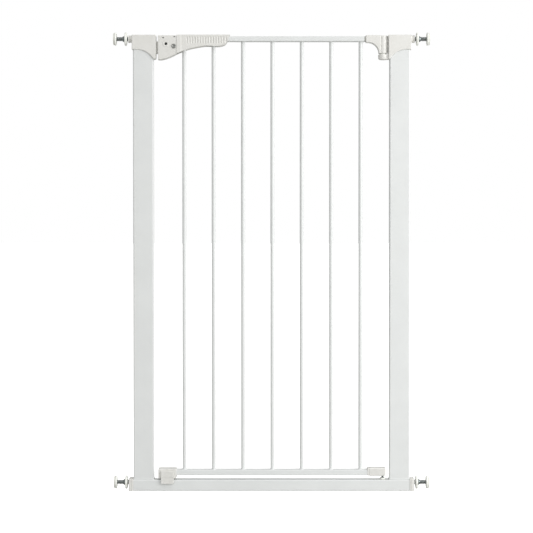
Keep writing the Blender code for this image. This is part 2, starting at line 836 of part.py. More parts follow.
def grip_outline():
    lower = smooth_line(
        [
            (HOUSING_RIGHT + TOUCH, 1.0119),
            (-0.2070, 1.0168),
            (-0.1900, 1.0228),
            (-0.1700, 1.0270),
            (-0.1500, 1.0296),
            (-0.1250, 1.0286),
            (-0.1110, 1.0312),
            (-0.1035, 1.0380),
            (GRIP_RIGHT, FRAME_HEIGHT),
        ]
    )
    return [*lower, (HOUSING_RIGHT + TOUCH, FRAME_HEIGHT)]


def half_shell(name, outline, depth, side, parent):
    """One half of a two-part moulding: side -1 is the front half and 1 the rear one."""
    split = TOUCH / 2
    low, high = sorted((side * split, side * depth / 2))
    shell = plate(name, outline, low, high, WHITE_PLASTIC, parent)
    # only the outer face is rounded, because the halves meet squarely
    rounded = shell.data.attributes.new("bevel_weight_edge", "FLOAT", "EDGE")
    for edge in shell.data.edges:
        ends = [shell.data.vertices[i].co for i in edge.vertices]
        outside = all(abs(end.y - side * depth / 2) < 0.0001 for end in ends)
        rounded.data[edge.index].value = float(outside)
    modifier(shell, "BEVEL", width=0.0022, segments=3, limit_method="WEIGHT")
    shell.data.shade_smooth()
    shell.data.set_sharp_from_angle(angle=radians(35))
    inside = depth / 2 - SHELL_WALL
    cut(shell, plate(f"{name}_hollow", inset_outline(outline, SHELL_WALL), -inside, inside))
    return shell


def cross_rod(name, radius, at, start_y, end_y):
    """A round boss or hole through the moulding's depth, at (x, z)."""
    x, z = at
    return rod(name, radius, (x, start_y, z), (x, end_y, z), sides=16)


def build_housing(parent):
    """The two fixed halves round the rail's free end, which hold the bolt and its spring."""
    outline = housing_outline()
    rail_way = box(
        "housing_rail_way",
        (TOP_RAIL_LEFT - 0.001, -DOOR_DEPTH / 2 - TOUCH, RAIL_WAY_LOW),
        (HOUSING_RIGHT + PAST, DOOR_DEPTH / 2 + TOUCH, TOP_RAIL_HIGH + TOUCH),
    )
    room = BOLT_HALF_DEPTH + RUNNING
    bolt_way = box(
        "housing_bolt_way",
        (HOUSING_LEFT - PAST, -room, BOLT_HEAD_Z[0] - RUNNING),
        (HOUSING_LEFT + PAST, room, BOLT_HEAD_Z[1] + RUNNING),
    )
    face = HOUSING_DEPTH / 2
    rivet_hole = cross_rod("rivet_hole", RIVET_SHANK_RADIUS + TOUCH, RIVET_AT, -face - PAST, face + PAST)
    blind_end = face - SHELL_WALL - TOUCH
    shank_hole = cross_rod("housing_screw_hole", SHANK_HOLE, HOUSING_SCREW_AT, -face - PAST, blind_end)
    seat = TOUCH - SCREW_SEAT_Y
    head_hole = cross_rod("housing_head_hole", HEAD_HOLE, HOUSING_SCREW_AT, -face - PAST, seat)
    for name, side in (("latch_housing_front", -1), ("latch_housing_rear", 1)):
        shell = half_shell(name, outline, HOUSING_DEPTH, side, parent)
        wall = side * (face - SHELL_WALL / 2)
        join(shell, cross_rod(f"{name}_boss", BOSS_RADIUS, HOUSING_SCREW_AT, wall, side * BOSS_END_Y))
        cut(shell, rail_way, bolt_way, rivet_hole, shank_hole, head_hole)


def build_housing_fasteners(parent):
    half, dome_height, rim = HOUSING_DEPTH / 2 + TOUCH, 0.0015, 0.0003
    dome = [
        (RIVET_HEAD_RADIUS * sin(angle), rim + dome_height * cos(angle))
        for angle in (radians(degrees) for degrees in (0, 22, 45, 68, 90))
    ]
    dome.append((RIVET_HEAD_RADIUS, 0))
    upper = [(radius, half + high) for radius, high in dome]
    lower = [(radius, -half - high) for radius, high in reversed(dome)]
    profile = [*upper, (RIVET_SHANK_RADIUS, half), (RIVET_SHANK_RADIUS, -half), *lower]
    turned("housing_rivet", profile, (RIVET_AT[0], 0, RIVET_AT[1]), (0, -1, 0), ZINC, parent, sides=16)
    screw("housing_screw", HOUSING_SCREW_AT, -1, parent)


def screw(name, at, side, parent):
    """A pan-head screw let into its boss from the front (side -1) or the rear (1)."""
    (x, z), chamfer = at, 0.0006
    profile = [
        (0, SCREW_HEAD_HEIGHT),
        (SCREW_HEAD_RADIUS - chamfer, SCREW_HEAD_HEIGHT),
        (SCREW_HEAD_RADIUS, SCREW_HEAD_HEIGHT - chamfer),
        (SCREW_HEAD_RADIUS, TOUCH),
        (SCREW_SHANK_RADIUS, TOUCH),
        (SCREW_SHANK_RADIUS, -SCREW_LENGTH + chamfer),
        (0, -SCREW_LENGTH),
    ]
    turned(name, profile, (x, side * SCREW_SEAT_Y, z), (0, side, 0), ZINC, parent, sides=16)


def build_grip(parent):
    """The two halves that slide along the top rail."""
    outline = grip_outline()
    rail_way = box(
        "grip_rail_way",
        (HOUSING_RIGHT - PAST, -DOOR_DEPTH / 2 - RUNNING, TOP_RAIL_LOW - RUNNING),
        (GRIP_RIGHT + PAST, DOOR_DEPTH / 2 + RUNNING, TOP_RAIL_HIGH + RUNNING),
    )
    mouth = box(
        "grip_mouth",
        (HOUSING_RIGHT - PAST, -GRIP_MOUTH_HALF_DEPTH, GRIP_MOUTH_LOW),
        (HOUSING_RIGHT + 2 * SHELL_WALL, GRIP_MOUTH_HALF_DEPTH, TOP_RAIL_HIGH),
    )
    wide = BAR_RADIUS + 2 * RUNNING
    slots = []
    for number in (1, 2):
        low_x, high_x = bar_x(number) - wide - LATCH_TRAVEL, bar_x(number) + wide
        slots.append(
            box(f"bar_slot_{number}", (low_x, -wide, FRAME_HEIGHT / 2), (high_x, wide, TOP_RAIL_LOW))
        )
    face = GRIP_DEPTH / 2
    blind_end = SHELL_WALL + TOUCH - face
    for name, side in (("grip_front", -1), ("grip_rear", 1)):
        shell = half_shell(name, outline, GRIP_DEPTH, side, parent)
        wall = side * (face - SHELL_WALL / 2)
        for number, at in enumerate(GRIP_SCREWS_AT, 1):
            join(shell, cross_rod(f"{name}_boss_{number}", BOSS_RADIUS, at, wall, side * BOSS_END_Y))
        cut(shell, rail_way, mouth, *slots)
        for number, at in enumerate(GRIP_SCREWS_AT, 1):
            shank_hole = cross_rod(f"{name}_shank_hole_{number}", SHANK_HOLE, at, blind_end, face + PAST)
            seat = SCREW_SEAT_Y - TOUCH
            cut(shell, shank_hole, cross_rod(f"{name}_head_hole_{number}", HEAD_HOLE, at, seat, face + PAST))
    for word, at in zip(("left", "right"), GRIP_SCREWS_AT):
        screw(f"grip_screw_{word}", at, 1, parent)


def build_latch_bolt(parent):
    """The sliding bolt: a tall head that enters the corner cap, on a thin shank.

    The shank's end is forked round the door's first bar, and its ears lie behind
    the grip's end wall, so that the grip draws the bolt and the spring returns both.
    """
    (low, high), (shank_low, shank_high), (fork_left, fork_right) = BOLT_HEAD_Z, BOLT_SHANK_Z, BOLT_FORK_X
    half, chamfer = BOLT_HALF_DEPTH, 0.002
    shank_end = fork_left + 0.002
    outline = [
        (BOLT_TIP_X + chamfer, low),
        (BOLT_HEAD_X, low),
        (BOLT_HEAD_X, shank_low),
        (shank_end, shank_low),
        (shank_end, shank_high),
        (BOLT_HEAD_X, shank_high),
        (BOLT_HEAD_X, high),
        (BOLT_TIP_X + chamfer, high),
        (BOLT_TIP_X, high - chamfer),
        (BOLT_TIP_X, low + chamfer),
    ]
    bolt = plate("latch_bolt", outline, -half, half, WHITE_PLASTIC, parent, edge=0.0007)
    fork_half, ear_half, slot_half = BOLT_FORK_HALF_DEPTH, BOLT_EAR_HALF_DEPTH, BOLT_SLOT_HALF_DEPTH
    fork = box("bolt_fork", (fork_left, -fork_half, shank_low), (fork_right, fork_half, shank_high))
    ears = box("bolt_ears", (BOLT_EAR_X, -ear_half, shank_low), (fork_right, ear_half, shank_high))
    slot_left = bar_x(1) - BAR_RADIUS - LATCH_TRAVEL - RUNNING
    slot = box(
        "bolt_slot",
        (slot_left, -slot_half, shank_low - PAST),
        (fork_right + PAST, slot_half, shank_high + PAST),
    )
    join(bolt, fork, ears)
    cut(bolt, slot)


def build_spring(parent):
    """The return spring above the bolt's shank, from the bolt's head to the rivet."""
    start, end = BOLT_HEAD_X + TOUCH, RIVET_AT[0] - RIVET_SHANK_RADIUS - TOUCH
    coil, wire, turns, steps = SPRING_RADIUS, SPRING_WIRE_RADIUS, SPRING_TURNS, 7
    curve = bpy.data.curves.new("latch_spring", "CURVE")
    curve.dimensions = "3D"
    curve.bevel_depth = wire
    curve.bevel_resolution = 0
    curve.use_fill_caps = True
    spline = curve.splines.new("POLY")
    spline.points.add(turns * steps)
    for i, point in enumerate(spline.points):
        angle = 2 * pi * i / steps
        x = start + wire + (end - start - 2 * wire) * i / (turns * steps)
        point.co = (x, coil * cos(angle), SPRING_Z + coil * sin(angle), 1)
    spring = bpy.data.objects.new("latch_spring", curve)
    curve.materials.append(material_of(BRIGHT_STEEL))
    PARTS.objects.link(spring)
    ride(spring, parent)


def main():
    build_posts()
    build_bottom_rail()
    build_left_cap()
    build_right_cap()
    build_end_caps()
    build_bushes()
    build_spindles()
    pins = pivot("door_swing_pivot", (HINGE_X, 0, 0))
    door = pivot("door_lift_pivot", (HINGE_X, 0, DOOR_RAIL_LOW))
    latch = pivot("latch_slide_pivot", (HOUSING_RIGHT, 0, TOP_RAIL_LOW))
    ride(door, pins)
    ride(latch, door)
    bpy.context.view_layer.update()
    build_hinge_pins(pins)
    build_door_rails(door)
    build_bars(door)
    build_upper_bracket(door)
    build_lower_block(door)
    build_latch_block(door)
    build_stop(door)
    build_housing(door)
    build_housing_fasteners(door)
    build_spring(door)
    build_latch_bolt(latch)
    build_grip(latch)


clear_scene()
PARTS = new_collection("safety_gate")
CUTTERS = new_collection("cutters", hidden=True)
main()
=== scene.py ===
"""The finished look of a pressure-fit safety gate, built round its working parts.

Every sub-assembly is a class: its sizes are fields, and its methods model its
pieces and dress them. Metres, +Z up, the front of the gate looks along -Y.
"""

import logging
from collections.abc import Callable, Iterator, Sequence
from contextlib import contextmanager
from dataclasses import dataclass, field
from enum import Enum
from math import cos, pi, radians, sin, tan

import bmesh
import bpy
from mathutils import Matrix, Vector


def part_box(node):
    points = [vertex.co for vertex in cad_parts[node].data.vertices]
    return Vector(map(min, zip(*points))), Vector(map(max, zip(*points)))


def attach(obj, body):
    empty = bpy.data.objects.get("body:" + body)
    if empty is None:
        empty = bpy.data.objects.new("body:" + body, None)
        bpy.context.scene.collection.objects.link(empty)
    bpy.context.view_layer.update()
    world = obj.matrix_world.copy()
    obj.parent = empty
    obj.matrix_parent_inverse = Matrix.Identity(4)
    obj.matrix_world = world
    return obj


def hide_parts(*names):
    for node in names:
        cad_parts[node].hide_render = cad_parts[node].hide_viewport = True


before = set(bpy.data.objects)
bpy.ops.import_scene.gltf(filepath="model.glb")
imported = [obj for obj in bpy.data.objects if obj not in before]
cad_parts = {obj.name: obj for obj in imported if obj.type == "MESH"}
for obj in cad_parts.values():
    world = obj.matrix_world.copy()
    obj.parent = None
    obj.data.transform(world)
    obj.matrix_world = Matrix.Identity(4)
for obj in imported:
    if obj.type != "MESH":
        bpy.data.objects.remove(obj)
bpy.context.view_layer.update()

log = logging.getLogger("safety_gate")

MM = 0.001
OVERLAP = 0.4 * MM
PAST = 10 * MM

Point = tuple[float, float, float]
Outline = list[tuple[float, float]]


class Slot(Enum):
    """The finishes that the gate's parts are sold with."""

    STEEL = "white_powder_coat"
    PLASTIC = "white_moulding"
    ZINC = "zinc_plate"
    RUBBER = "pale_rubber"
    SPRING = "spring_steel"


class Side(Enum):
    """A side of the doorway, seen from the front."""

    LEFT = -1
    RIGHT = 1

    @property
    def word(self) -> str:
        """The side's name as the parts use it."""
        return self.name.lower()


# ------------------------------------------------------------------- finishes


def linear(colour: str) -> tuple[float, float, float, float]:
    """Turns an sRGB hex colour into the linear values that a shader takes.

    Args:
        colour: six hex digits, such as "E4E4E2".

    Returns:
        Red, green, blue and alpha.
    """
    parts = [int(colour[i : i + 2], 16) / 255 for i in (0, 2, 4)]
    red, green, blue = (c / 12.92 if c <= 0.04045 else ((c + 0.055) / 1.055) ** 2.4 for c in parts)
    return red, green, blue, 1.0


def add_node(tree: bpy.types.NodeTree, kind: str, settings: dict, inputs: dict) -> bpy.types.Node:
    """Adds a node with its settings, and links or sets its inputs.

    Args:
        tree: the node tree that it goes in.
        kind: the node's type.
        settings: the node's own properties.
        inputs: for each input, by name or number, a socket to link from or a value.

    Returns:
        The new node.
    """
    made = tree.nodes.new(kind)
    for key, value in settings.items():
        setattr(made, key, value)
    for key, value in inputs.items():
        if isinstance(value, bpy.types.NodeSocket):
            tree.links.new(value, made.inputs[key])
        else:
            made.inputs[key].default_value = value
    return made


@dataclass(frozen=True)
class Finish:
    """A surface with a broad drift of tone, a fine grain in relief and uneven gloss.

    Sizes are those of the real pattern, in millimetres.
    """

    name: str
    slot: Slot
    colour: str
    shade: str
    roughness: float
    metallic: float = 0.0
    ior: float = 1.5
    drift_mm: float = 60.0
    grain_mm: float = 1.0
    relief_mm: float = 0.01
    gloss_swing: float = 0.05

    def material(self) -> bpy.types.Material:
        """Makes the material once, and gives the same one after that.

        Returns:
            The material with its nodes.
        """
        made = bpy.data.materials.get(self.name)
        if made is None:
            made = bpy.data.materials.new(self.name)
            made.use_nodes = True
            tree = made.node_tree
            shader = tree.nodes["Principled BSDF"]
            shader.inputs["Metallic"].default_value = self.metallic
            if not self.metallic:
                shader.inputs["IOR"].default_value = self.ior
            place = add_node(tree, "ShaderNodeTexCoord", {}, {}).outputs["Object"]
            self.paint(tree, shader, place)
        return made

    def noise(self, tree: bpy.types.NodeTree, place: bpy.types.NodeSocket, size_mm: float, detail: float):
        """Adds a noise whose lumps are of the given size.

        Args:
            tree: the material's nodes.
            place: the coordinates it reads.
            size_mm: the size of a lump.
            detail: how many finer octaves it has.

        Returns:
            The noise's factor socket.
        """
        settings = {"Vector": place, "Scale": 1 / (size_mm * MM), "Detail": detail, "Roughness": 0.5}
        return add_node(tree, "ShaderNodeTexNoise", {}, settings).outputs["Fac"]

    def tones(self, tree: bpy.types.NodeTree, factor: bpy.types.NodeSocket) -> bpy.types.NodeSocket:
        """Blends from the shade to the full colour by a factor.

        Args:
            tree: the material's nodes.
            factor: from 0 to 1.

        Returns:
            The colour socket.
        """
        ramp = add_node(tree, "ShaderNodeValToRGB", {}, {"Fac": factor})
        low, high = ramp.color_ramp.elements
        low.position, low.color = 0.3, linear(self.shade)
        high.position, high.color = 0.7, linear(self.colour)
        return ramp.outputs["Color"]

    def gloss(self, tree: bpy.types.NodeTree, factor: bpy.types.NodeSocket) -> bpy.types.NodeSocket:
        """Spreads the roughness a little either side of its middle value.

        Args:
            tree: the material's nodes.
            factor: from 0 to 1.

        Returns:
            The roughness socket.
        """
        low, high = self.roughness - self.gloss_swing, self.roughness + self.gloss_swing
        reach = {"Value": factor, "From Min": 0.3, "From Max": 0.7, "To Min": low, "To Max": high}
        return add_node(tree, "ShaderNodeMapRange", {}, reach).outputs["Result"]

    def relief(self, tree: bpy.types.NodeTree, height: bpy.types.NodeSocket) -> bpy.types.NodeSocket:
        """Turns a height pattern into bumps of the finish's own depth.

        Args:
            tree: the material's nodes.
            height: from 0 to 1.

        Returns:
            The normal socket.
        """
        depth = {"Height": height, "Strength": 1.0, "Distance": self.relief_mm * MM}
        return add_node(tree, "ShaderNodeBump", {}, depth).outputs["Normal"]

    def paint(self, tree: bpy.types.NodeTree, shader: bpy.types.Node, place: bpy.types.NodeSocket) -> None:
        """Links the finish's patterns into its shader.

        Args:
            tree: the material's nodes.
            shader: the Principled shader.
            place: object coordinates.
        """
        drift = self.noise(tree, place, self.drift_mm, 2.0)
        grain = self.noise(tree, place, self.grain_mm, 3.0)
        tree.links.new(self.tones(tree, drift), shader.inputs["Base Color"])
        tree.links.new(self.gloss(tree, grain), shader.inputs["Roughness"])
        tree.links.new(self.relief(tree, grain), shader.inputs["Normal"])


@dataclass(frozen=True)
class PowderCoat(Finish):
    """Polyester powder baked on steel: satin, with the soft waves of orange peel."""

    peel_mm: float = 3.5

    def paint(self, tree: bpy.types.NodeTree, shader: bpy.types.Node, place: bpy.types.NodeSocket) -> None:
        """Lays fine grit over the orange peel's waves.

        Args:
            tree: the material's nodes.
            shader: the Principled shader.
            place: object coordinates.
        """
        super().paint(tree, shader, place)
        waves = self.noise(tree, place, self.peel_mm, 1.0)
        grit = self.noise(tree, place, self.grain_mm, 2.0)
        both = {0: grit, 1: 0.35, 2: waves}
        height = add_node(tree, "ShaderNodeMath", {"operation": "MULTIPLY_ADD"}, both)
        tree.links.new(self.relief(tree, height.outputs["Value"]), shader.inputs["Normal"])


@dataclass(frozen=True)
class Moulding(Finish):
    """Injection-moulded plastic from a spark-eroded tool: matt, finely pitted."""

    pit_mm: float = 0.8

    def paint(self, tree: bpy.types.NodeTree, shader: bpy.types.Node, place: bpy.types.NodeSocket) -> None:
        """Pits the surface like the tool that moulded it.

        Args:
            tree: the material's nodes.
            shader: the Principled shader.
            place: object coordinates.
        """
        super().paint(tree, shader, place)
        cells = {"Vector": place, "Scale": 1 / (self.pit_mm * MM)}
        pits = add_node(tree, "ShaderNodeTexVoronoi", {"feature": "SMOOTH_F1"}, cells)
        tree.links.new(self.relief(tree, pits.outputs["Distance"]), shader.inputs["Normal"])


@dataclass(frozen=True)
class ZincThread(Finish):
    """Passivated zinc on steel, rubbed bright where it stands furthest from its axis."""

    bright: str = "C9CCCB"
    axis_z: float = 0.0
    root: float = 4.0 * MM
    crest: float = 4.9 * MM

    def paint(self, tree: bpy.types.NodeTree, shader: bpy.types.Node, place: bpy.types.NodeSocket) -> None:
        """Brightens the crests, and leaves the roots dark.

        Args:
            tree: the material's nodes.
            shader: the Principled shader.
            place: object coordinates.
        """
        super().paint(tree, shader, place)
        centred = {"Vector": place, "Location": (0, 0, -self.axis_z), "Scale": (0, 1, 1)}
        spoke = add_node(tree, "ShaderNodeMapping", {}, centred).outputs["Vector"]
        radius = add_node(tree, "ShaderNodeVectorMath", {"operation": "LENGTH"}, {0: spoke})
        reach = {"Value": radius.outputs["Value"], "From Min": self.root, "From Max": self.crest}
        worn = add_node(tree, "ShaderNodeMapRange", {}, reach).outputs["Result"]
        drift = self.noise(tree, place, self.drift_mm, 2.0)
        colours = {0: worn, 6: self.tones(tree, drift), 7: linear(self.bright)}
        mixed = add_node(tree, "ShaderNodeMix", {"data_type": "RGBA"}, colours)
        tree.links.new(mixed.outputs[2], shader.inputs["Base Color"])


@dataclass(frozen=True)
class DrawnWire(Finish):
    """Hard-drawn spring wire, with fine die lines round the coil."""

    line_mm: float = 0.3

    def paint(self, tree: bpy.types.NodeTree, shader: bpy.types.Node, place: bpy.types.NodeSocket) -> None:
        """Draws the die lines as fine bands.

        Args:
            tree: the material's nodes.
            shader: the Principled shader.
            place: object coordinates.
        """
        super().paint(tree, shader, place)
        bands = {"Vector": place, "Scale": 1 / (self.line_mm * MM), "Distortion": 2.0, "Detail": 1.0}
        lines = add_node(tree, "ShaderNodeTexWave", {"bands_direction": "X"}, bands)
        tree.links.new(self.relief(tree, lines.outputs["Fac"]), shader.inputs["Normal"])


# The steel tubes: a cool white, satin, a touch darker where the coat is thin.
POWDER_COAT = PowderCoat(
    "polyester powder coat on steel", Slot.STEEL, "E5E7E6", "E1E3E2", 0.36, grain_mm=0.7, relief_mm=0.03
)
# The corners, hinge parts and latch: a warmer white than the tubes, and flatter.
NYLON = Moulding(
    "moulded glass-filled nylon", Slot.PLASTIC, "E6E5E1", "E1E0DB", 0.46, drift_mm=25, relief_mm=0.02
)
# The hand wheels and feet: the same white in an unfilled plastic, a little glossier.
ABS = Moulding("moulded ABS", Slot.PLASTIC, "F7F8F3", "F1F2EB", 0.38, drift_mm=12, relief_mm=0.01)
# The nuts, screws and pins: dark, cold grey with a faint blue cast.
ZINC_PLATE = Finish(
    "passivated zinc plate",
    Slot.ZINC,
    "8A9190",
    "6C7474",
    0.34,
    1.0,
    drift_mm=3,
    grain_mm=0.5,
    relief_mm=0.006,
)
# The latch's rivet: paler than the screws, its rolled rim polished by the tool that set it.
RIVET_STEEL = Finish(
    "burnished steel rivet",
    Slot.ZINC,
    "A3A4A1",
    "8B8C89",
    0.4,
    1.0,
    drift_mm=2,
    grain_mm=0.4,
    relief_mm=0.006,
)
# The screw deep in its hole: zinc painted nearly black, as painted shade for the deep hole it sits in.
HOLE_SHADE_ZINC = Finish(
    "black passivated zinc",
    Slot.ZINC,
    "4A4D4D",
    "3C3F3F",
    0.5,
    1.0,
    drift_mm=2,
    grain_mm=0.4,
    relief_mm=0.006,
)
# The collar between the top rail and the hinge bracket: a dull mid-grey, painted shade for the shadow gap
# where the rail meets the bracket.
SHADOW_GAP_GREY = Moulding(
    "grey moulded polypropylene", Slot.PLASTIC, "A8A7A1", "A09F99", 0.6, drift_mm=8, relief_mm=0.01
)
# The soft pads against the wall: pale, dull, slightly yellow.
PAD_RUBBER = Finish(
    "thermoplastic rubber", Slot.RUBBER, "EDEDE6", "E6E6DE", 0.78, drift_mm=6, grain_mm=0.4, relief_mm=0.02
)
SPRING_WIRE = DrawnWire("hard-drawn spring wire", Slot.SPRING, "B8B9B6", "9C9D9A", 0.3, 1.0, drift_mm=2)


def thread_zinc(axis_z: float) -> ZincThread:
    """Gives the zinc of a threaded rod that lies at this height.

    Args:
        axis_z: the height of the rod's axis.

    Returns:
        The finish, dark in the thread's roots.
    """
    name = f"passivated zinc thread at {axis_z / MM:.0f} mm"
    return ZincThread(name, Slot.ZINC, "7E8685", "666E6E", 0.33, 1.0, drift_mm=4, grain_mm=0.4, axis_z=axis_z)


# ------------------------------------------------------------------ modelling


def only(obj: bpy.types.Object) -> None:
    """Selects this object alone and makes it the active one."""
    for other in list(bpy.context.selected_objects):
        other.select_set(False)
    obj.select_set(True)
    bpy.context.view_layer.objects.active = obj


def start() -> None:
    """Deselects everything, before a primitive is added."""
    for other in list(bpy.context.selected_objects):
        other.select_set(False)


def named(name: str) -> bpy.types.Object:
    """Names the primitive that was just added, and puts its place in its mesh.

    Args:
        name: the piece's name.

    Returns:
        The object.
    """
    obj = bpy.context.object
    obj.name = obj.data.name = name
    only(obj)
    bpy.ops.object.transform_apply(location=True, rotation=True, scale=True)
    return obj


@contextmanager
def editing(obj: bpy.types.Object, everything: bool = False) -> Iterator[None]:
    """Works on the object in edit mode, with nothing or everything selected.

    Args:
        obj: the object.
        everything: whether all of it starts selected.

    Yields:
        Nothing.
    """
    only(obj)
    bpy.ops.object.mode_set(mode="EDIT")
    bpy.context.tool_settings.mesh_select_mode = (False, True, True)
    bpy.ops.mesh.select_all(action="SELECT" if everything else "DESELECT")
    try:
        yield
    finally:
        bpy.ops.object.mode_set(mode="OBJECT")


def pick_faces(obj: bpy.types.Object, test: Callable[[bmesh.types.BMFace], bool]) -> None:
    """Selects the faces that pass a test, and no others.

    Args:
        obj: the object, in edit mode.
        test: says whether a face is wanted.
    """
    shape = bmesh.from_edit_mesh(obj.data)
    for face in shape.faces:
        face.select_set(False)
    for face in shape.faces:
        if test(face):
            face.select_set(True)
    bmesh.update_edit_mesh(obj.data)


def pick_edges(obj: bpy.types.Object, test: Callable[[Vector, Vector], bool]) -> None:
    """Selects the edges whose ends pass a test, and no others.

    Args:
        obj: the object, in edit mode.
        test: says whether an edge between two points is wanted.
    """
    shape = bmesh.from_edit_mesh(obj.data)
    for edge in shape.edges:
        edge.select_set(False)
    for edge in shape.edges:
        if test(edge.verts[0].co, edge.verts[1].co):
            edge.select_set(True)
    bmesh.update_edit_mesh(obj.data)


def apply(obj: bpy.types.Object, kind: str, **settings: object) -> None:
    """Adds a modifier and applies it.

    Args:
        obj: the object.
        kind: the modifier's type.
        settings: the modifier's properties.
    """
    only(obj)
    made = obj.modifiers.new(kind.title(), kind)
    for key, value in settings.items():
        setattr(made, key, value)
    bpy.ops.object.modifier_apply(modifier=made.name)


def combine(obj: bpy.types.Object, operation: str, *tools: bpy.types.Object) -> None:
    """Cuts the tools away from the object or joins them to it, and removes them.

    Args:
        obj: the object.
        operation: DIFFERENCE or UNION.
        tools: closed objects.
    """
    for tool in tools:
        apply(obj, "BOOLEAN", operation=operation, object=tool, solver="EXACT")
        bpy.data.objects.remove(tool, do_unlink=True)


def soften(obj: bpy.types.Object, width: float, segments: int = 3, angle: float = 32) -> None:
    """Rounds every edge that is sharper than an angle.

    Args:
        obj: the object.
        width: the width of the rounding.
        segments: how many steps it has.
        angle: the angle, in degrees.
    """
    rounding = {"width": width, "segments": segments, "limit_method": "ANGLE", "angle_limit": radians(angle)}
    apply(obj, "BEVEL", use_clamp_overlap=True, harden_normals=False, **rounding)


def face_out(obj: bpy.types.Object) -> None:
    """Merges doubled points and turns every face outwards."""
    with editing(obj, everything=True):
        bpy.ops.mesh.remove_doubles(threshold=0.000005)
        bpy.ops.mesh.normals_make_consistent(inside=False)


def block(name: str, low: Sequence[float], high: Sequence[float]) -> bpy.types.Object:
    """Makes a box from its lowest and highest corner.

    Args:
        name: its name.
        low: the lowest corner.
        high: the highest corner.

    Returns:
        The box.
    """
    start()
    low, high = Vector(low), Vector(high)
    bpy.ops.mesh.primitive_cube_add(size=1, location=(low + high) / 2, scale=high - low)
    return named(name)


def rod(name: str, radius: float, low: Sequence[float], high: Sequence[float], sides: int = 40):
    """Makes a solid cylinder between two points.

    Args:
        name: its name.
        radius: its radius.
        low: one end of its axis.
        high: the other end.
        sides: how many sides it has.

    Returns:
        The cylinder.
    """
    start()
    low, high = Vector(low), Vector(high)
    turn = Vector((0, 0, 1)).rotation_difference(high - low).to_euler()
    length = (high - low).length
    middle = (low + high) / 2
    bpy.ops.mesh.primitive_cylinder_add(
        vertices=sides, radius=radius, depth=length, location=middle, rotation=turn
    )
    return named(name)


def turned(name: str, profile: Outline, base: Sequence[float], axis: Sequence[float], sides: int = 48):
    """Makes a turned piece by drawing a circle out along its axis, step by step.

    Args:
        name: its name.
        profile: (radius, distance along the axis) from end to end. If the last
            point is the first again, the piece is a ring with a hole.
        base: where the distances start.
        axis: the way they go.
        sides: how many sides it has.

    Returns:
        The piece.
    """
    start()
    ring = profile[0] == profile[-1]
    radius, along = profile[0]
    fill = "NOTHING" if ring else "NGON"
    bpy.ops.mesh.primitive_circle_add(vertices=sides, radius=radius, location=(0, 0, along), fill_type=fill)
    obj = named(name)
    with editing(obj, everything=True):
        for next_radius, next_along in profile[1:]:
            step = {"value": (0, 0, next_along - along)}
            bpy.ops.mesh.extrude_region_move(TRANSFORM_OT_translate=step)
            grow = next_radius / radius
            bpy.ops.transform.resize(value=(grow, grow, 1), center_override=(0, 0, next_along))
            radius, along = next_radius, next_along
    face_out(obj)
    obj.rotation_euler = Vector((0, 0, 1)).rotation_difference(Vector(axis)).to_euler()
    obj.location = base
    return settle(obj)


def settle(obj: bpy.types.Object) -> bpy.types.Object:
    """Puts the object's place and turn in its mesh.

    Args:
        obj: the object.

    Returns:
        The same object.
    """
    only(obj)
    bpy.ops.object.transform_apply(location=True, rotation=True, scale=True)
    return obj


def copied(piece: bpy.types.Object, name: str, shift: Sequence[float], turn: float = 0.0) -> bpy.types.Object:
    """Copies a piece with its own mesh, turned about the Z axis and then moved.

    Args:
        piece: the piece that is copied.
        name: the copy's name.
        shift: how far it moves.
        turn: the turn, in degrees.

    Returns:
        The copy.
    """
    made = piece.copy()
    made.data = piece.data.copy()
    made.name = made.data.name = name
    bpy.context.scene.collection.objects.link(made)
    made.rotation_euler.z = radians(turn)
    made.location = shift
    return settle(made)


def discard(*pieces: bpy.types.Object) -> None:
    """Removes patterns that have been copied."""
    for piece in pieces:
        bpy.data.objects.remove(piece, do_unlink=True)


def plate(name: str, outline: Outline, low_y: float, high_y: float) -> bpy.types.Object:
    """Makes a flat-sided piece: a face is pulled to its outline, then drawn out in depth.

    Args:
        name: its name.
        outline: (x, z) of each corner, in order.
        low_y: its front.
        high_y: its back.

    Returns:
        The piece.
    """
    start()
    bpy.ops.mesh.primitive_circle_add(vertices=len(outline), radius=PAST, fill_type="NGON")
    obj = named(name)
    with editing(obj, everything=True):
        shape = bmesh.from_edit_mesh(obj.data)
        for corner, (x, z) in zip(shape.verts, outline):
            corner.co = (x, low_y, z)
        bmesh.update_edit_mesh(obj.data)
        bpy.ops.mesh.extrude_region_move(TRANSFORM_OT_translate={"value": (0, high_y - low_y, 0)})
    face_out(obj)
    return obj


def folded_tube(name: str, low: Sequence[float], high: Sequence[float], along: int, corner: float):
    """Makes a rectangular steel tube, open at its ends.

    Args:
        name: its name.
        low: the lowest corner.
        high: the highest corner.
        along: the axis it runs along, 0 for X and 2 for Z.
        corner: the radius of its folded corners.

    Returns:
        The tube.
    """
    wall = 1.5 * MM
    obj = block(name, low, high)
    with editing(obj):
        pick_edges(obj, lambda a, b: abs((a - b)[along]) > PAST)
        bpy.ops.mesh.bevel(offset=corner, segments=6, affect="EDGES")
        pick_faces(obj, lambda face: abs(face.normal[along]) > 0.9)
        bpy.ops.mesh.delete(type="FACE")
    apply(obj, "SOLIDIFY", thickness=wall, offset=-1, use_even_offset=True)
    return obj


def arc(x: float, z: float, radius: float, first: float, last: float, steps: int) -> Outline:
    """Gives points along a circle, from one angle to the other in degrees."""
    angles = [radians(first + (last - first) * i / steps) for i in range(steps + 1)]
    return [(x + radius * cos(a), z + radius * sin(a)) for a in angles]


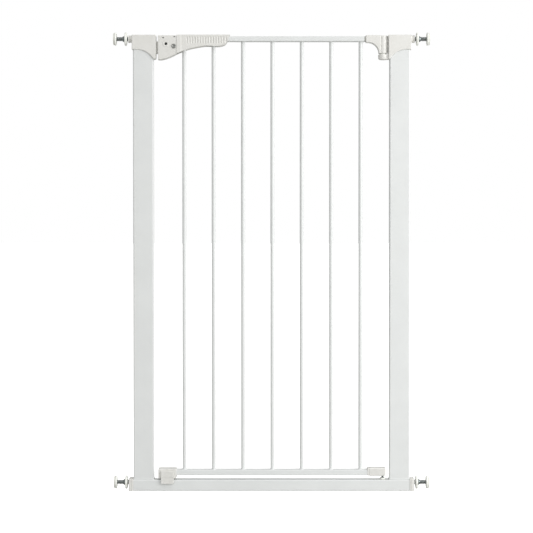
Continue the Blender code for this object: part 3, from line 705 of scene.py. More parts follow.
def smooth_line(points: Outline, steps: int = 6) -> Outline:
    """Draws a smooth curve through the points, which it keeps.

    Args:
        points: the points.
        steps: how many steps there are between two of them.

    Returns:
        The curve's points.
    """
    ends = [points[0], *points, points[-1]]
    line = []
    for before, here, there, after in zip(ends, ends[1:], ends[2:], ends[3:]):
        for i in range(steps):
            t = i / steps
            weights = (
                -0.5 * t + t**2 - 0.5 * t**3,
                1 - 2.5 * t**2 + 1.5 * t**3,
                0.5 * t + 2 * t**2 - 1.5 * t**3,
                -0.5 * t**2 + 0.5 * t**3,
            )
            near = (before, here, there, after)
            line.append(tuple(sum(w * p[k] for w, p in zip(weights, near)) for k in (0, 1)))
    return [*line, points[-1]]


def inset_outline(outline: Outline, amount: float) -> Outline:
    """Moves an outline inwards. Its points run anticlockwise.

    Args:
        outline: the outline.
        amount: how far it moves.

    Returns:
        The smaller outline, without the points that crowd on a tight bend.
    """
    moved: Outline = []
    for i, point in enumerate(outline):
        here = Vector(point)
        before = (here - Vector(outline[i - 1])).normalized()
        after = (Vector(outline[(i + 1) % len(outline)]) - here).normalized()
        in_before, in_after = Vector((-before.y, before.x)), Vector((-after.y, after.x))
        middle = (in_before + in_after).normalized()
        inside = here + middle * amount / max(middle.dot(in_after), 0.35)
        if not moved or (inside - Vector(moved[-1])).length > amount / 3:
            moved.append((inside.x, inside.y))
    return moved


def flute(obj: bpy.types.Object, low: Vector, high: Vector, depth: float, pitch: float = 2.8 * MM) -> None:
    """Cuts fine upright flutes into a piece's front face.

    Args:
        obj: the piece.
        low: the fluted field's lowest corner, which lies on the face.
        high: its highest corner.
        depth: how deep the flutes are.
        pitch: how far apart they are.
    """
    count = int((high.x - low.x) / pitch)
    radius = pitch * 0.36
    x = (low.x + high.x - (count - 1) * pitch) / 2
    y = low.y + depth - radius
    tool = rod("flute", radius, (x, y, low.z), (x, y, high.z), 16)
    step = {"use_relative_offset": False, "use_constant_offset": True}
    apply(tool, "ARRAY", count=count, constant_offset_displace=(pitch, 0, 0), **step)
    combine(obj, "DIFFERENCE", tool)


def dress(
    obj: bpy.types.Object, body: str, finish: Finish, stands_for: Sequence[str] = (), angle: float = 32
) -> bpy.types.Object:
    """Finishes a piece: shading, material, the body it rides on and the part it stands for.

    Args:
        obj: the piece.
        body: the body it moves with.
        finish: its finish.
        stands_for: the plain parts that it replaces.
        angle: edges sharper than this stay sharp, in degrees.

    Returns:
        The piece.
    """
    only(obj)
    bpy.ops.object.shade_smooth_by_angle(angle=radians(angle))
    apply(obj, "WEIGHTED_NORMAL", keep_sharp=True, weight=60)
    obj.data.materials.clear()
    obj.data.materials.append(finish.material())
    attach(obj, body)
    if stands_for:
        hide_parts(*stands_for)
    log.info("%s on %s, %s", obj.name, body, finish.name)
    return obj


def coat(node: str, finish: Finish) -> None:
    """Gives a working part that is shown as it is its finish.

    Args:
        node: the part's name.
        finish: its finish.
    """
    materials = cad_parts[node].data.materials
    materials.clear()
    materials.append(finish.material())
    log.info("%s as it is, %s", node, finish.name)


# ---------------------------------------------------------------------- frame


@dataclass
class FrameTubes:
    """The welded U: two posts on a bottom rail, with the beads of their welds."""

    post_corner: float = 3.0 * MM
    rail_corner: float = 2.6 * MM
    bead: float = 1.3 * MM
    bush_hole: float = 4.4 * MM

    def build(self) -> None:
        """Models one post and its weld, copies them across, and models the rail."""
        post, weld = self.post()
        middle = middle_of("right_post").x
        for side in Side:
            shift = ((side.value - 1) * middle, 0, 0)
            name = f"{side.word}_post"
            dress(copied(post, f"{name}_tube", shift), "frame", POWDER_COAT, [name])
            dress(copied(weld, f"{name}_weld", shift), "frame", POWDER_COAT, angle=60)
        discard(post, weld)
        self.rail()

    def post(self) -> tuple[bpy.types.Object, bpy.types.Object]:
        """Models the right post and the bead round its foot.

        Returns:
            The tube and the bead.
        """
        low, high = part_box("right_post")
        foot = Vector((low.x, low.y, low.z - OVERLAP))
        tube = folded_tube("post_pattern", foot, high, 2, self.post_corner)
        spread = Vector((self.bead, self.bead, 0))
        bead_low = foot - spread
        bead_high = Vector((high.x, high.y, low.z + self.bead)) + spread
        bead = block("weld_pattern", bead_low, bead_high)
        with editing(bead):
            pick_edges(bead, lambda a, b: abs((a - b).z) > 0.5 * MM)
            bpy.ops.mesh.bevel(offset=self.post_corner + self.bead, segments=8, affect="EDGES")
            pick_faces(bead, lambda face: face.normal.z > 0.9)
            bpy.ops.mesh.inset(thickness=self.bead)
            bpy.ops.transform.translate(value=(0, 0, self.bead * 0.2))
        soften(bead, 0.4 * MM, 2)
        return tube, bead

    def rail(self) -> None:
        """Models the bottom rail, with the hole for the hinge bush."""
        low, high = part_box("bottom_rail")
        tube = folded_tube("bottom_rail_tube", low, high, 0, self.rail_corner)
        middle = middle_of("lower_hinge_pin")
        hole = rod("bush_hole", self.bush_hole, (middle.x, 0, low.z + PAST), (middle.x, 0, high.z + PAST))
        combine(tube, "DIFFERENCE", hole)
        dress(tube, "frame", POWDER_COAT, ["bottom_rail"])


@dataclass
class CornerCap:
    """The moulding over a post's top, with the collar that the hand wheel bears on."""

    side: Side
    depth: float = 26 * MM
    edge: float = 1.5 * MM
    arc_x: float = 313 * MM
    arc_z: float = 974 * MM
    arc_radius: float = 47.6 * MM
    collar_radius: float = 9 * MM
    spindle_z: float = 1.046
    bore: float = 5.3 * MM
    outer: float = 322.5 * MM
    tip_z: float = 1000.2 * MM
    rib_clear: float = 10.8 * MM
    rib_top: float = 1050 * MM
    lip_y: float = 9.2 * MM
    lip_height: float = 4.4 * MM

    @property
    def name(self) -> str:
        """The name of the part that this moulding stands for."""
        return f"{self.side.word}_corner_cap"

    def build(self) -> None:
        """Models the cap with its pocket, collar and bore: at the right with the hinge cup, at the left with
        the keeper pocket.
        """
        cap = self.body()
        side = self.side.value
        reach = max(abs(corner.x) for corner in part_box(self.name))
        self.collar(cap, side, reach)
        if self.side is Side.RIGHT:
            self.hinge_cup(cap)
        post_low, post_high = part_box(f"{self.side.word}_post")
        gap = Vector((0.3, 0.3, 0)) * MM
        low = Vector((post_low.x, post_low.y, self.arc_z)) - gap
        pocket = block("post_pocket", low, post_high + gap)
        inner_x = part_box(f"upper_{self.side.word}_spindle_bolt")[0 if side > 0 else 1].x
        bore_ends = ((inner_x - side * MM, 0, self.spindle_z), (side * (reach + PAST), 0, self.spindle_z))
        combine(cap, "DIFFERENCE", pocket, rod("bore", self.bore, *bore_ends))
        if self.side is Side.LEFT:
            combine(cap, "DIFFERENCE", self.keeper(post_high.x))
        else:
            combine(cap, "DIFFERENCE", self.pin_bore())
        face_out(cap)
        dress(cap, "frame", NYLON, [self.name])

    def outline(self) -> Outline:
        """Gives the cap's outline seen from the front, with its hollow lower edge.

        Returns:
            Its points, anticlockwise.
        """
        side = self.side.value
        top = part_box(self.name)[1].z
        inner = abs(self.inner_x())
        curve = arc(0, self.arc_z, self.arc_radius, 31, 101.5, 22)
        lower = [(min(self.arc_x - x, self.outer), z) for x, z in curve if self.arc_x - x > inner]
        points = [(self.outer, top), (inner, top), (inner, self.tip_z), *lower]
        placed = [(side * x, z) for x, z in points]
        return placed if side > 0 else placed[::-1]

    def inner_x(self) -> float:
        """Gives the side that looks at the door, left clear for the hinge barrel at the right."""
        if self.side is Side.LEFT:
            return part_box(self.name)[1].x
        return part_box("right_post")[0].x - 2.5 * MM

    def body(self) -> bpy.types.Object:
        """Models the outer shape, softly rounded all round.

        Returns:
            The cap before it is hollowed.
        """
        cap = plate(f"{self.name}_moulding", self.outline(), -self.depth / 2, self.depth / 2)
        soften(cap, self.edge, 5, 40)
        return cap

    def collar(self, cap: bpy.types.Object, side: int, reach: float) -> None:
        """Joins on the collar, which has a rim at its end and a groove behind it.

        Args:
            cap: the cap.
            side: 1 at the right and -1 at the left.
            reach: how far out the collar ends.
        """
        radius, length, root = self.collar_radius, reach - self.outer, 6 * MM
        profile = [
            (radius - 0.6 * MM, -root),
            (radius - 0.6 * MM, length * 0.45),
            (radius - 1.2 * MM, length * 0.5),
            (radius - 1.2 * MM, length * 0.6),
            (radius, length * 0.68),
            (radius, length - 0.7 * MM),
            (radius - 0.7 * MM, length),
        ]
        base = (side * self.outer, 0, self.spindle_z)
        combine(cap, "UNION", turned("collar", profile, base, (side, 0, 0), 56))

    def keeper(self, post_side: float) -> bpy.types.Object:
        """Gives the pocket that the latch bolt enters.

        Args:
            post_side: the side of the post that closes the pocket.

        Returns:
            The pocket as a solid.
        """
        return block(
            "keeper_pocket",
            (post_side - OVERLAP, -7.2 * MM, 1009.8 * MM),
            (post_side + PAST, 7.2 * MM, 1052.2 * MM),
        )

    def hinge_cup(self, cap: bpy.types.Object) -> None:
        """Joins on the cup under the door's barrel, its bridge, and the rib behind the barrel.

        Args:
            cap: the cap.
        """
        axis_x = middle_of("upper_hinge_pin").x
        low_z, high_z = 998 * MM, 1010 * MM
        profile = [
            (7.5 * MM, 0),
            (9.8 * MM, 0.6 * MM),
            (11.0 * MM, 2.4 * MM),
            (11.2 * MM, 4.5 * MM),
            (11.2 * MM, high_z - low_z - 0.8 * MM),
            (10.4 * MM, high_z - low_z),
        ]
        cup = turned("hinge_cup", profile, (axis_x, 0, low_z), (0, 0, 1), 64)
        inside = self.inner_x() + 2 * MM
        bridge = block("bridge", (axis_x, -9 * MM, low_z + 0.6 * MM), (inside, 9 * MM, high_z - 0.1 * MM))
        soften(bridge, 1.0 * MM)
        rib_x = axis_x + self.rib_clear
        rib = block("rib", (rib_x, -1 * MM, low_z + 1.1 * MM), (inside, 5 * MM, self.rib_top))
        combine(cap, "UNION", cup, bridge, rib)
        top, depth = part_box(self.name)[1].z, self.depth / 2
        for way in (-1, 1):
            near, far = sorted((way * self.lip_y, way * (depth - 0.4 * MM)))
            lip = block("lip", (rib_x, near, top - self.lip_height), (inside + MM, far, top - 0.2 * MM))
            soften(lip, 0.7 * MM)
            combine(cap, "UNION", lip)

    def pin_bore(self) -> bpy.types.Object:
        """Gives the hole in the cup for the pin's bush.

        Returns:
            The hole as a solid.
        """
        axis_x = middle_of("upper_hinge_pin").x
        return rod("pin_bore", 4.9 * MM, (axis_x, 0, 999.8 * MM), (axis_x, 0, 1025 * MM))


def middle_of(node: str) -> Vector:
    """Gives the middle of a working part's box."""
    low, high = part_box(node)
    return (low + high) / 2


@dataclass
class RailEndCaps:
    """The plugs in the bottom rail's ends, which carry the lower spindles."""

    edge: float = 1.8 * MM
    groove: float = 0.7 * MM
    bore: float = 5.3 * MM
    plug_length: float = 14 * MM
    plug_half: float = 9.7 * MM
    plug_z: float = 2.8 * MM

    def build(self) -> None:
        """Models the right cap and turns a copy of it round for the left."""
        cap = self.end_cap()
        for side in Side:
            name = f"{side.word}_rail_end_cap"
            turn = 0 if side is Side.RIGHT else 180
            dress(copied(cap, f"{name}_moulding", (0, 0, 0), turn), "frame", NYLON, [name])
        discard(cap)

    def end_cap(self) -> bpy.types.Object:
        """Models the right cap with a shadow groove round it, and its plug.

        Returns:
            The cap.
        """
        low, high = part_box("right_rail_end_cap")
        rail_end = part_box("bottom_rail")[1].x
        outer = high.x
        spindle = middle_of("lower_right_spindle_bolt").z
        cap = block("end_cap_pattern", (rail_end + 0.1 * MM, low.y, low.z), high)
        soften(cap, self.edge, 4)
        start_x, end_x = rail_end + 3.2 * MM, rail_end + 4.2 * MM
        ring = block("groove", (start_x, low.y - PAST, low.z - PAST), (end_x, high.y + PAST, high.z + PAST))
        core = block(
            "groove_core",
            (start_x - PAST, low.y + self.groove, low.z + self.groove),
            (end_x + PAST, high.y - self.groove, high.z - self.groove),
        )
        combine(ring, "DIFFERENCE", core)
        plug_low = (rail_end - self.plug_length, -self.plug_half, self.plug_z)
        plug = block("plug", plug_low, (rail_end + 3 * MM, self.plug_half, spindle))
        combine(cap, "DIFFERENCE", ring)
        combine(cap, "UNION", plug)
        bore_ends = ((rail_end - 30 * MM, 0, spindle), (outer + PAST, 0, spindle))
        combine(cap, "DIFFERENCE", rod("bore", self.bore, *bore_ends))
        face_out(cap)
        return cap


# ------------------------------------------------------------------- spindles


@dataclass
class Spindles:
    """The four screws that press the gate between the walls, all alike.

    One is modelled along the X axis. Each of the four is a copy, and those at
    the left are turned round, so that every thread stays right-handed.
    """

    like: str = "lower_right"
    wheel_radius: float = 15.5 * MM
    wheel_thickness: float = 5 * MM
    lobes: int = 8
    lobe_depth: float = 1.1 * MM
    crest: float = 4.9 * MM
    root: float = 4.05 * MM
    pitch: float = 1.5 * MM

    def span(self, part: str) -> tuple[float, float]:
        """Gives how far out a part starts and ends."""
        low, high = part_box(f"{self.like}_{part}")
        return low.x, high.x

    def build(self) -> None:
        """Models the wheel, nut, rod, foot and pad, and puts them in all four places."""
        patterns = {
            "hand_wheel": (self.wheel(), "wheel", ABS, 40),
            "wheel_nut": (self.nut(), "wheel", ZINC_PLATE, 30),
            "spindle_bolt": (self.rod(), "spindle", None, 25),
            "spindle_foot": (self.foot(), "spindle", ABS, 40),
            "foot_pad": (self.pad(), "spindle", PAD_RUBBER, 32),
        }
        for level in ("lower", "upper"):
            for side in Side:
                prefix = f"{level}_{side.word}"
                z = round(middle_of(f"{prefix}_spindle_bolt").z, 4)
                for part, (pattern, body, finish, angle) in patterns.items():
                    turn = 0 if side is Side.RIGHT else 180
                    piece = copied(pattern, f"{prefix}_{part}_finished", (0, 0, z), turn)
                    node = f"{prefix}_{part}"
                    dress(piece, f"{prefix}_{body}", finish or thread_zinc(z), [node], angle)
        discard(*(pattern for pattern, *_ in patterns.values()))

    def wheel(self) -> bpy.types.Object:
        """Models the hand wheel: finger hollows, dished faces and a low hub.

        Returns:
            The wheel.
        """
        outer = self.span("hand_wheel")[1]
        thickness, radius = self.wheel_thickness, self.wheel_radius
        edge = 1.5 * MM
        profile = [
            (8.6 * MM, -0.7 * MM),
            (9.4 * MM, 0.9 * MM),
            (radius - 3.6 * MM, 1.1 * MM),
            (radius - 2.6 * MM, 0.2 * MM),
            (radius - edge, 0.2 * MM),
            (radius - 0.3 * edge, 0.4 * edge),
            (radius, 1.2 * edge),
            (radius, thickness - edge),
            (radius - 0.3 * edge, thickness - 0.3 * edge),
            (radius - edge, thickness),
            (radius - 2.6 * MM, thickness),
            (radius - 3.4 * MM, thickness - 1.0 * MM),
            (7.0 * MM, thickness - 1.0 * MM),
            (7.0 * MM, -0.7 * MM),
            (8.6 * MM, -0.7 * MM),
        ]
        base = (outer - thickness, 0, 0)
        wheel = turned("wheel_pattern", profile, base, (1, 0, 0), self.lobes * 12)
        with editing(wheel, everything=True):
            shape = bmesh.from_edit_mesh(wheel.data)
            for point in shape.verts:
                self.hollow(point)
            bmesh.update_edit_mesh(wheel.data)
        return wheel

    def hollow(self, point: bmesh.types.BMVert) -> None:
        """Draws a point of the wheel's rim in where a finger hollow is.

        Args:
            point: the point.
        """
        spoke = Vector((point.co.y, point.co.z))
        if spoke.length > self.wheel_radius - 2.5 * MM:
            wave = (1 - cos(self.lobes * spoke.angle_signed(Vector((1, 0))))) / 2
            share = (spoke.length - (self.wheel_radius - 2.5 * MM)) / (2.5 * MM)
            spoke *= 1 - self.lobe_depth * wave * share / spoke.length
            point.co.y, point.co.z = spoke.x, spoke.y

    def nut(self) -> bpy.types.Object:
        """Models the steel flange nut, whose cone narrows in a hollow curve.

        Returns:
            The nut.
        """
        inner, outer = self.span("wheel_nut")
        face = self.span("hand_wheel")[1]
        sleeve = 6.7 * MM
        cone = [(7.9, 1.0), (7.4, 1.3), (6.7, 2.1), (6.2, 3.2), (5.9, 4.2)]
        profile = [
            (5.3 * MM, inner - face),
            (sleeve, inner - face),
            (sleeve, 0.3 * MM),
            (7.9 * MM, 0.3 * MM),
            *((radius * MM, along * MM) for radius, along in cone),
            (5.7 * MM, outer - face),
            (5.1 * MM, outer - face),
            (5.1 * MM, 0.3 * MM),
            (5.3 * MM, inner - face),
        ]
        return turned("nut_pattern", profile, (face, 0, 0), (1, 0, 0), 48)

    def rod(self) -> bpy.types.Object:
        """Models the rod: a core with a real thread wound on it.

        Returns:
            The rod.
        """
        inner, outer = self.span("spindle_bolt")
        length = outer - inner
        chamfer = 0.8 * MM
        profile = [
            (self.root - chamfer, 0),
            (self.root, chamfer),
            (self.root, length - chamfer),
            (self.root - chamfer, length),
        ]
        core = turned("rod_pattern", profile, (inner, 0, 0), (1, 0, 0), 32)
        ridge = self.ridge(length - 3 * chamfer)
        ridge.rotation_euler = Vector((0, 0, 1)).rotation_difference(Vector((1, 0, 0))).to_euler()
        ridge.location = (inner + 1.5 * chamfer, 0, 0)
        settle(ridge)
        only(core)
        ridge.select_set(True)
        bpy.ops.object.join()
        return core

    def ridge(self, length: float) -> bpy.types.Object:
        """Winds the thread's ridge up the Z axis.

        Args:
            length: how long the threaded stretch is.

        Returns:
            The ridge, closed at both ends.
        """
        start()
        bpy.ops.mesh.primitive_circle_add(vertices=4, radius=MM, fill_type="NOTHING")
        ridge = named("thread_ridge")
        half_root, half_crest = 0.44 * self.pitch, 0.09 * self.pitch
        buried = self.root - 0.15 * MM
        flank = [(self.crest, -half_crest), (self.crest, half_crest)]
        section = [(buried, -half_root), *flank, (buried, half_root)]
        with editing(ridge, everything=True):
            shape = bmesh.from_edit_mesh(ridge.data)
            for corner, (radius, along) in zip(shape.verts, section):
                corner.co = (radius, 0, along)
            bmesh.update_edit_mesh(ridge.data)
        steps = 20
        turns = int(length / self.pitch)
        winding = {"screw_offset": self.pitch, "iterations": turns, "steps": steps, "render_steps": steps}
        apply(ridge, "SCREW", axis="Z", use_merge_vertices=False, **winding)
        with editing(ridge, everything=True):
            bpy.ops.mesh.remove_doubles(threshold=0.000002)
            bpy.ops.mesh.select_all(action="DESELECT")
            bpy.ops.mesh.select_non_manifold(extend=False, use_wire=False, use_multi_face=False)
            bpy.ops.mesh.fill_holes(sides=0)
        face_out(ridge)
        return ridge

    def foot(self) -> bpy.types.Object:
        """Models the disc on the rod's end, with a rounded rim and a low boss.

        Returns:
            The foot.
        """
        inner, outer = self.span("spindle_foot")
        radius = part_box(f"{self.like}_spindle_foot")[1].y
        thick, edge, socket = outer - inner, 1.4 * MM, 3.2 * MM
        profile = [
            (5.3 * MM, 0.1 * MM),
            (7.2 * MM, 0.1 * MM),
            (7.8 * MM, 0.9 * MM),
            (radius - 3.0 * MM, 1.1 * MM),
            (radius - 2.0 * MM, 0.3 * MM),
            (radius - 0.9 * edge, 0.3 * MM),
            (radius - 0.3 * edge, 0.5 * edge),
            (radius, 1.1 * edge),
            (radius, thick - edge),
            (radius - 0.3 * edge, thick - 0.3 * edge),
            (radius - edge, thick),
            (0.4 * MM, thick),
            (0.4 * MM, socket),
            (5.3 * MM, socket),
            (5.3 * MM, 0.1 * MM),
        ]
        return turned("foot_pattern", profile, (inner, 0, 0), (1, 0, 0), 64)

    def pad(self) -> bpy.types.Object:
        """Models the soft pad, with two rings on the face that meets the wall.

        Returns:
            The pad.
        """
        inner, outer = self.span("foot_pad")
        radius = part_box(f"{self.like}_foot_pad")[1].y
        thick, groove = outer - inner, 0.5 * MM
        slack, chamfer = 0.2 * MM, 0.5 * MM
        back = [(slack, -slack), (radius, -slack)]
        profile = [*back, (radius, thick - chamfer), (radius - chamfer, thick)]
        for ring in (10.2 * MM, 5.6 * MM):
            profile += [
                (ring + 0.7 * MM, thick),
                (ring + 0.4 * MM, thick - groove),
                (ring - 0.4 * MM, thick - groove),
                (ring - 0.7 * MM, thick),
            ]
        profile.append((slack, thick))
        return turned("pad_pattern", profile, (inner, 0, 0), (1, 0, 0), 64)


# ----------------------------------------------------------------------- door


@dataclass
class DoorTubes:
    """The door's two rails and seven bars, with the flared welds at their ends."""

    corner: float = 2.0 * MM
    bars: int = 7
    wall: float = 0.9 * MM
    weld_flare: float = 1.0 * MM
    weld_height: float = 1.6 * MM
    top_gap_x: float = 214.2 * MM

    def build(self) -> None:
        """Models the rails, one bar and its copies."""
        for name, cut_short in (("door_top_rail", self.top_gap_x), ("door_bottom_rail", None)):
            low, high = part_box(name)
            tube = folded_tube(f"{name}_tube", low, (cut_short or high.x, high.y, high.z), 0, self.corner)
            dress(tube, "door", POWDER_COAT, [name])
        bar = self.bar()
        for number in range(1, self.bars + 1):
            name = f"door_bar_{number}"
            middle = middle_of(name)
            dress(copied(bar, f"{name}_tube", (middle.x, 0, 0)), "door", POWDER_COAT, [name], 50)
        discard(bar)

    def bar(self) -> bpy.types.Object:
        """Models a bar, which widens into its weld at both ends.

        Returns:
            The bar, on the Z axis.
        """
        low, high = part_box("door_bar_1")
        radius = (high.y - low.y) / 2
        bottom, top = low.z - OVERLAP, high.z + OVERLAP
        flare = [(1.0, 0.0), (0.55, 0.25), (0.25, 0.55), (0.0, 1.0)]
        outside = [(radius + self.weld_flare * out, bottom + self.weld_height * up) for out, up in flare]
        outside += [(r, top - (z - bottom)) for r, z in reversed(outside)]
        inner = radius - self.wall
        profile = [(inner, bottom), *outside, (inner, top), (inner, bottom)]
        return turned("bar_pattern", profile, (0, 0, 0), (0, 0, 1), 32)


@dataclass
class HingeFittings:
    """The bracket with the barrel at the top, and the block on the lower pin."""

    edge: float = 1.5 * MM
    barrel_radius: float = 10.2 * MM
    mouth_gap: float = 2.6 * MM
    spigot_inset: float = 3.2 * MM
    collar_inset: float = 0.7 * MM
    collar_corner: float = 1.6 * MM
    flutes: float = 0.4 * MM

    def build(self) -> None:
        """Models both fittings and finishes the pins and bushes."""
        self.bracket()
        self.block()
        for pin in ("upper_hinge_pin", "lower_hinge_pin"):
            coat(pin, ZINC_PLATE)
        for bush in ("upper_hinge_bush", "lower_hinge_bush"):
            coat(bush, ABS)

    def bracket(self) -> None:
        """Models the bracket: a hollow curve up to the rail, and the round barrel."""
        low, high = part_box("upper_hinge_bracket")
        rail_low, rail_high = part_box("door_top_rail")
        axis_x = middle_of("upper_hinge_pin").x
        foot, depth, right = rail_low.z - 2.3 * MM, 10.2 * MM, 252 * MM
        top, left = high.z, low.x + self.mouth_gap
        curve = arc(222.5 * MM, low.z, 25.2 * MM, 0, 90, 14)
        outline = [(right, low.z), (right, top), (left, top), (left, foot), *reversed(curve)]
        bracket = plate("upper_hinge_bracket_moulding", outline[::-1], -depth, depth)
        soften(bracket, self.edge, 4, 40)
        barrel_top = 1053.5 * MM
        radius, lip = self.barrel_radius, 0.9 * MM
        profile = [
            (radius - lip, low.z),
            (radius, low.z + lip),
            (radius, barrel_top - lip),
            (radius - 0.3 * lip, barrel_top - 0.3 * lip),
            (radius - lip, barrel_top),
        ]
        barrel = turned("barrel", profile, (axis_x, 0, 0), (0, 0, 1), 64)
        spigot = block(
            "spigot",
            (low.x - 2 * PAST, rail_low.y + self.spigot_inset, rail_low.z + self.spigot_inset),
            (left + 3 * MM, rail_high.y - self.spigot_inset, rail_high.z - self.spigot_inset),
        )
        bore = rod("pin_bore", 3.4 * MM, (axis_x, 0, low.z - PAST), (axis_x, 0, 1049 * MM))
        combine(bracket, "UNION", barrel)
        combine(bracket, "DIFFERENCE", bore)
        combine(bracket, "UNION", spigot)
        face_out(bracket)
        dress(bracket, "door", NYLON, ["upper_hinge_bracket"])
        self.collar(left)

    def collar(self, left: float) -> None:
        """Models the collar between the top rail and the bracket, grey as painted shade for the shadow gap
        there.

        Args:
            left: where the bracket starts.
        """
        rail_low, rail_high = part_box("door_top_rail")
        start_x, inset = DoorTubes.top_gap_x + 0.2 * MM, self.collar_inset
        collar_low = Vector((start_x, rail_low.y + inset, rail_low.z + inset))
        collar_high = Vector((left + 2 * MM, rail_high.y - inset, rail_high.z - inset))
        collar = block("upper_hinge_bracket_collar", collar_low, collar_high)
        with editing(collar):
            pick_edges(collar, lambda a, b: abs((a - b).x) > MM)
            bpy.ops.mesh.bevel(offset=self.collar_corner, segments=5, affect="EDGES")
        face_out(collar)
        # The collar's grey is painted shade for the shadow gap between the rail and the bracket.
        dress(collar, "door", SHADOW_GAP_GREY)

    def block(self) -> None:
        """Models the lower block: a fat rounded end, and a thinner rim round the rail."""
        low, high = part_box("lower_hinge_block")
        rail_low, rail_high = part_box("door_bottom_rail")
        shoulder = low.x + 3.4 * MM
        body = block("lower_hinge_block_moulding", (shoulder, low.y, low.z), high)
        soften(body, 3.2 * MM, 5)
        step = 0.9 * MM
        rim = block(
            "rim", (low.x, low.y + step, low.z + step), (shoulder + 3 * MM, high.y - step, high.z - step)
        )
        soften(rim, 1.0 * MM)
        gap = 0.3 * MM
        pocket = block(
            "rail_pocket",
            (low.x - PAST, rail_low.y - gap, rail_low.z - gap),
            (rail_high.x + gap, rail_high.y + gap, rail_high.z + gap),
        )
        axis_x = middle_of("lower_hinge_pin").x
        bore = rod("pin_bore", 2.9 * MM, (axis_x, 0, low.z - PAST), (axis_x, 0, high.z - 2 * MM))
        combine(body, "UNION", rim)
        combine(body, "DIFFERENCE", pocket, bore)
        margin = Vector((4, 0, 3.5)) * MM
        flute(body, Vector((shoulder, low.y, low.z)) + margin, high - margin, self.flutes)
        face_out(body)
        dress(body, "door", NYLON, ["lower_hinge_block"])


@dataclass
class LatchBlock:
    """The moulding on the door's free end, and the clip in front of it."""

    edge: float = 1.6 * MM
    face: float = 13.8 * MM
    front: float = 13.5 * MM
    back: float = 14.2 * MM
    flutes: float = 0.4 * MM
    margin: float = 2.2 * MM
    groove: float = 0.8 * MM
    groove_z: tuple[float, float] = (30.6 * MM, 32 * MM)
    flute_z: tuple[float, float] = (34 * MM, 29 * MM)

    def build(self) -> None:
        """Models the block with its rear leg, and the front stop."""
        self.block()
        self.stop()

    def block(self) -> None:
        """Models the block over the rail's end, with its rear leg and fine flutes on its face."""
        low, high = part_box("bottom_latch_block")
        rail_low, rail_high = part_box("door_bottom_rail")
        stop_low, stop_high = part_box("bottom_stop")
        front, bottom = -self.front, low.z + 12 * MM
        body = block("latch_block_moulding", (low.x, front, bottom), (high.x, self.back, high.z))
        soften(body, self.edge, 4)
        leg = block("leg", (stop_low.x, self.face, low.z), (stop_high.x, high.y, stop_high.z))
        soften(leg, 1.0 * MM)
        gap = 0.3 * MM
        pocket = block(
            "rail_pocket",
            (rail_low.x - gap, rail_low.y - gap, rail_low.z - gap),
            (high.x + PAST, rail_high.y + gap, rail_high.z + gap),
        )
        combine(body, "UNION", leg)
        combine(body, "DIFFERENCE", pocket)
        margin = self.edge + 1.2 * MM
        field_low = Vector((low.x + margin, front, stop_high.z + 1.5 * MM))
        flute(body, field_low, Vector((high.x - margin, front, high.z - margin)), self.flutes)
        face_out(body)
        dress(body, "door", NYLON, ["bottom_latch_block"])

    def stop(self) -> None:
        """Models the stop: a thin clip with a groove across it and fine uprights below."""
        low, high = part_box("bottom_stop")
        stop = block("bottom_stop_moulding", low, high)
        soften(stop, 0.9 * MM)
        left, right = low.x + self.margin, high.x - self.margin
        across_low = (left, low.y - PAST, self.groove_z[0])
        across = block("groove", across_low, (right, low.y + self.groove, self.groove_z[1]))
        combine(stop, "DIFFERENCE", across)
        upper, lower = self.flute_z
        flute(stop, Vector((left, low.y, upper)), Vector((right, low.y, high.z - self.margin)), self.flutes)
        flute(stop, Vector((left, low.y, low.z + self.margin)), Vector((right, low.y, lower)), self.flutes)
        face_out(stop)
        dress(stop, "door", NYLON, ["bottom_stop"])


# ---------------------------------------------------------------------- latch


@dataclass
class Shell:
    """A two-part moulding: a front and a rear half that meet on the middle plane."""

    wall: float = 2.2 * MM
    seam: float = 0.15 * MM
    edge: float = 1.3 * MM

    def half(self, name: str, outline: Outline, rough: Outline, depth: float, way: int, square_x: float):
        """Models one half, rounded on its outer face and hollow inside.

        Args:
            name: its name.
            outline: its outline, anticlockwise seen from the front.
            rough: the same outline with far fewer points, for the hollow.
            depth: the depth of both halves together.
            way: -1 for the front half and 1 for the rear one.
            square_x: where the side lies that stays square, at the seam between housing and grip.

        Returns:
            The half.
        """
        face = way * depth / 2
        low, high = sorted((way * self.seam, face))
        shell = plate(name, outline, low, high)
        with editing(shell):
            near = 0.01 * MM
            pick_edges(
                shell,
                lambda a, b: max(abs(a.y - face), abs(b.y - face)) < near
                and max(abs(a.x - square_x), abs(b.x - square_x)) > near,
            )
            bpy.ops.mesh.bevel(offset=self.edge, segments=5, affect="EDGES", clamp_overlap=True)
        inside = depth / 2 - self.wall
        combine(shell, "DIFFERENCE", plate("hollow", inset_outline(rough, self.wall), -inside, inside))
        return shell


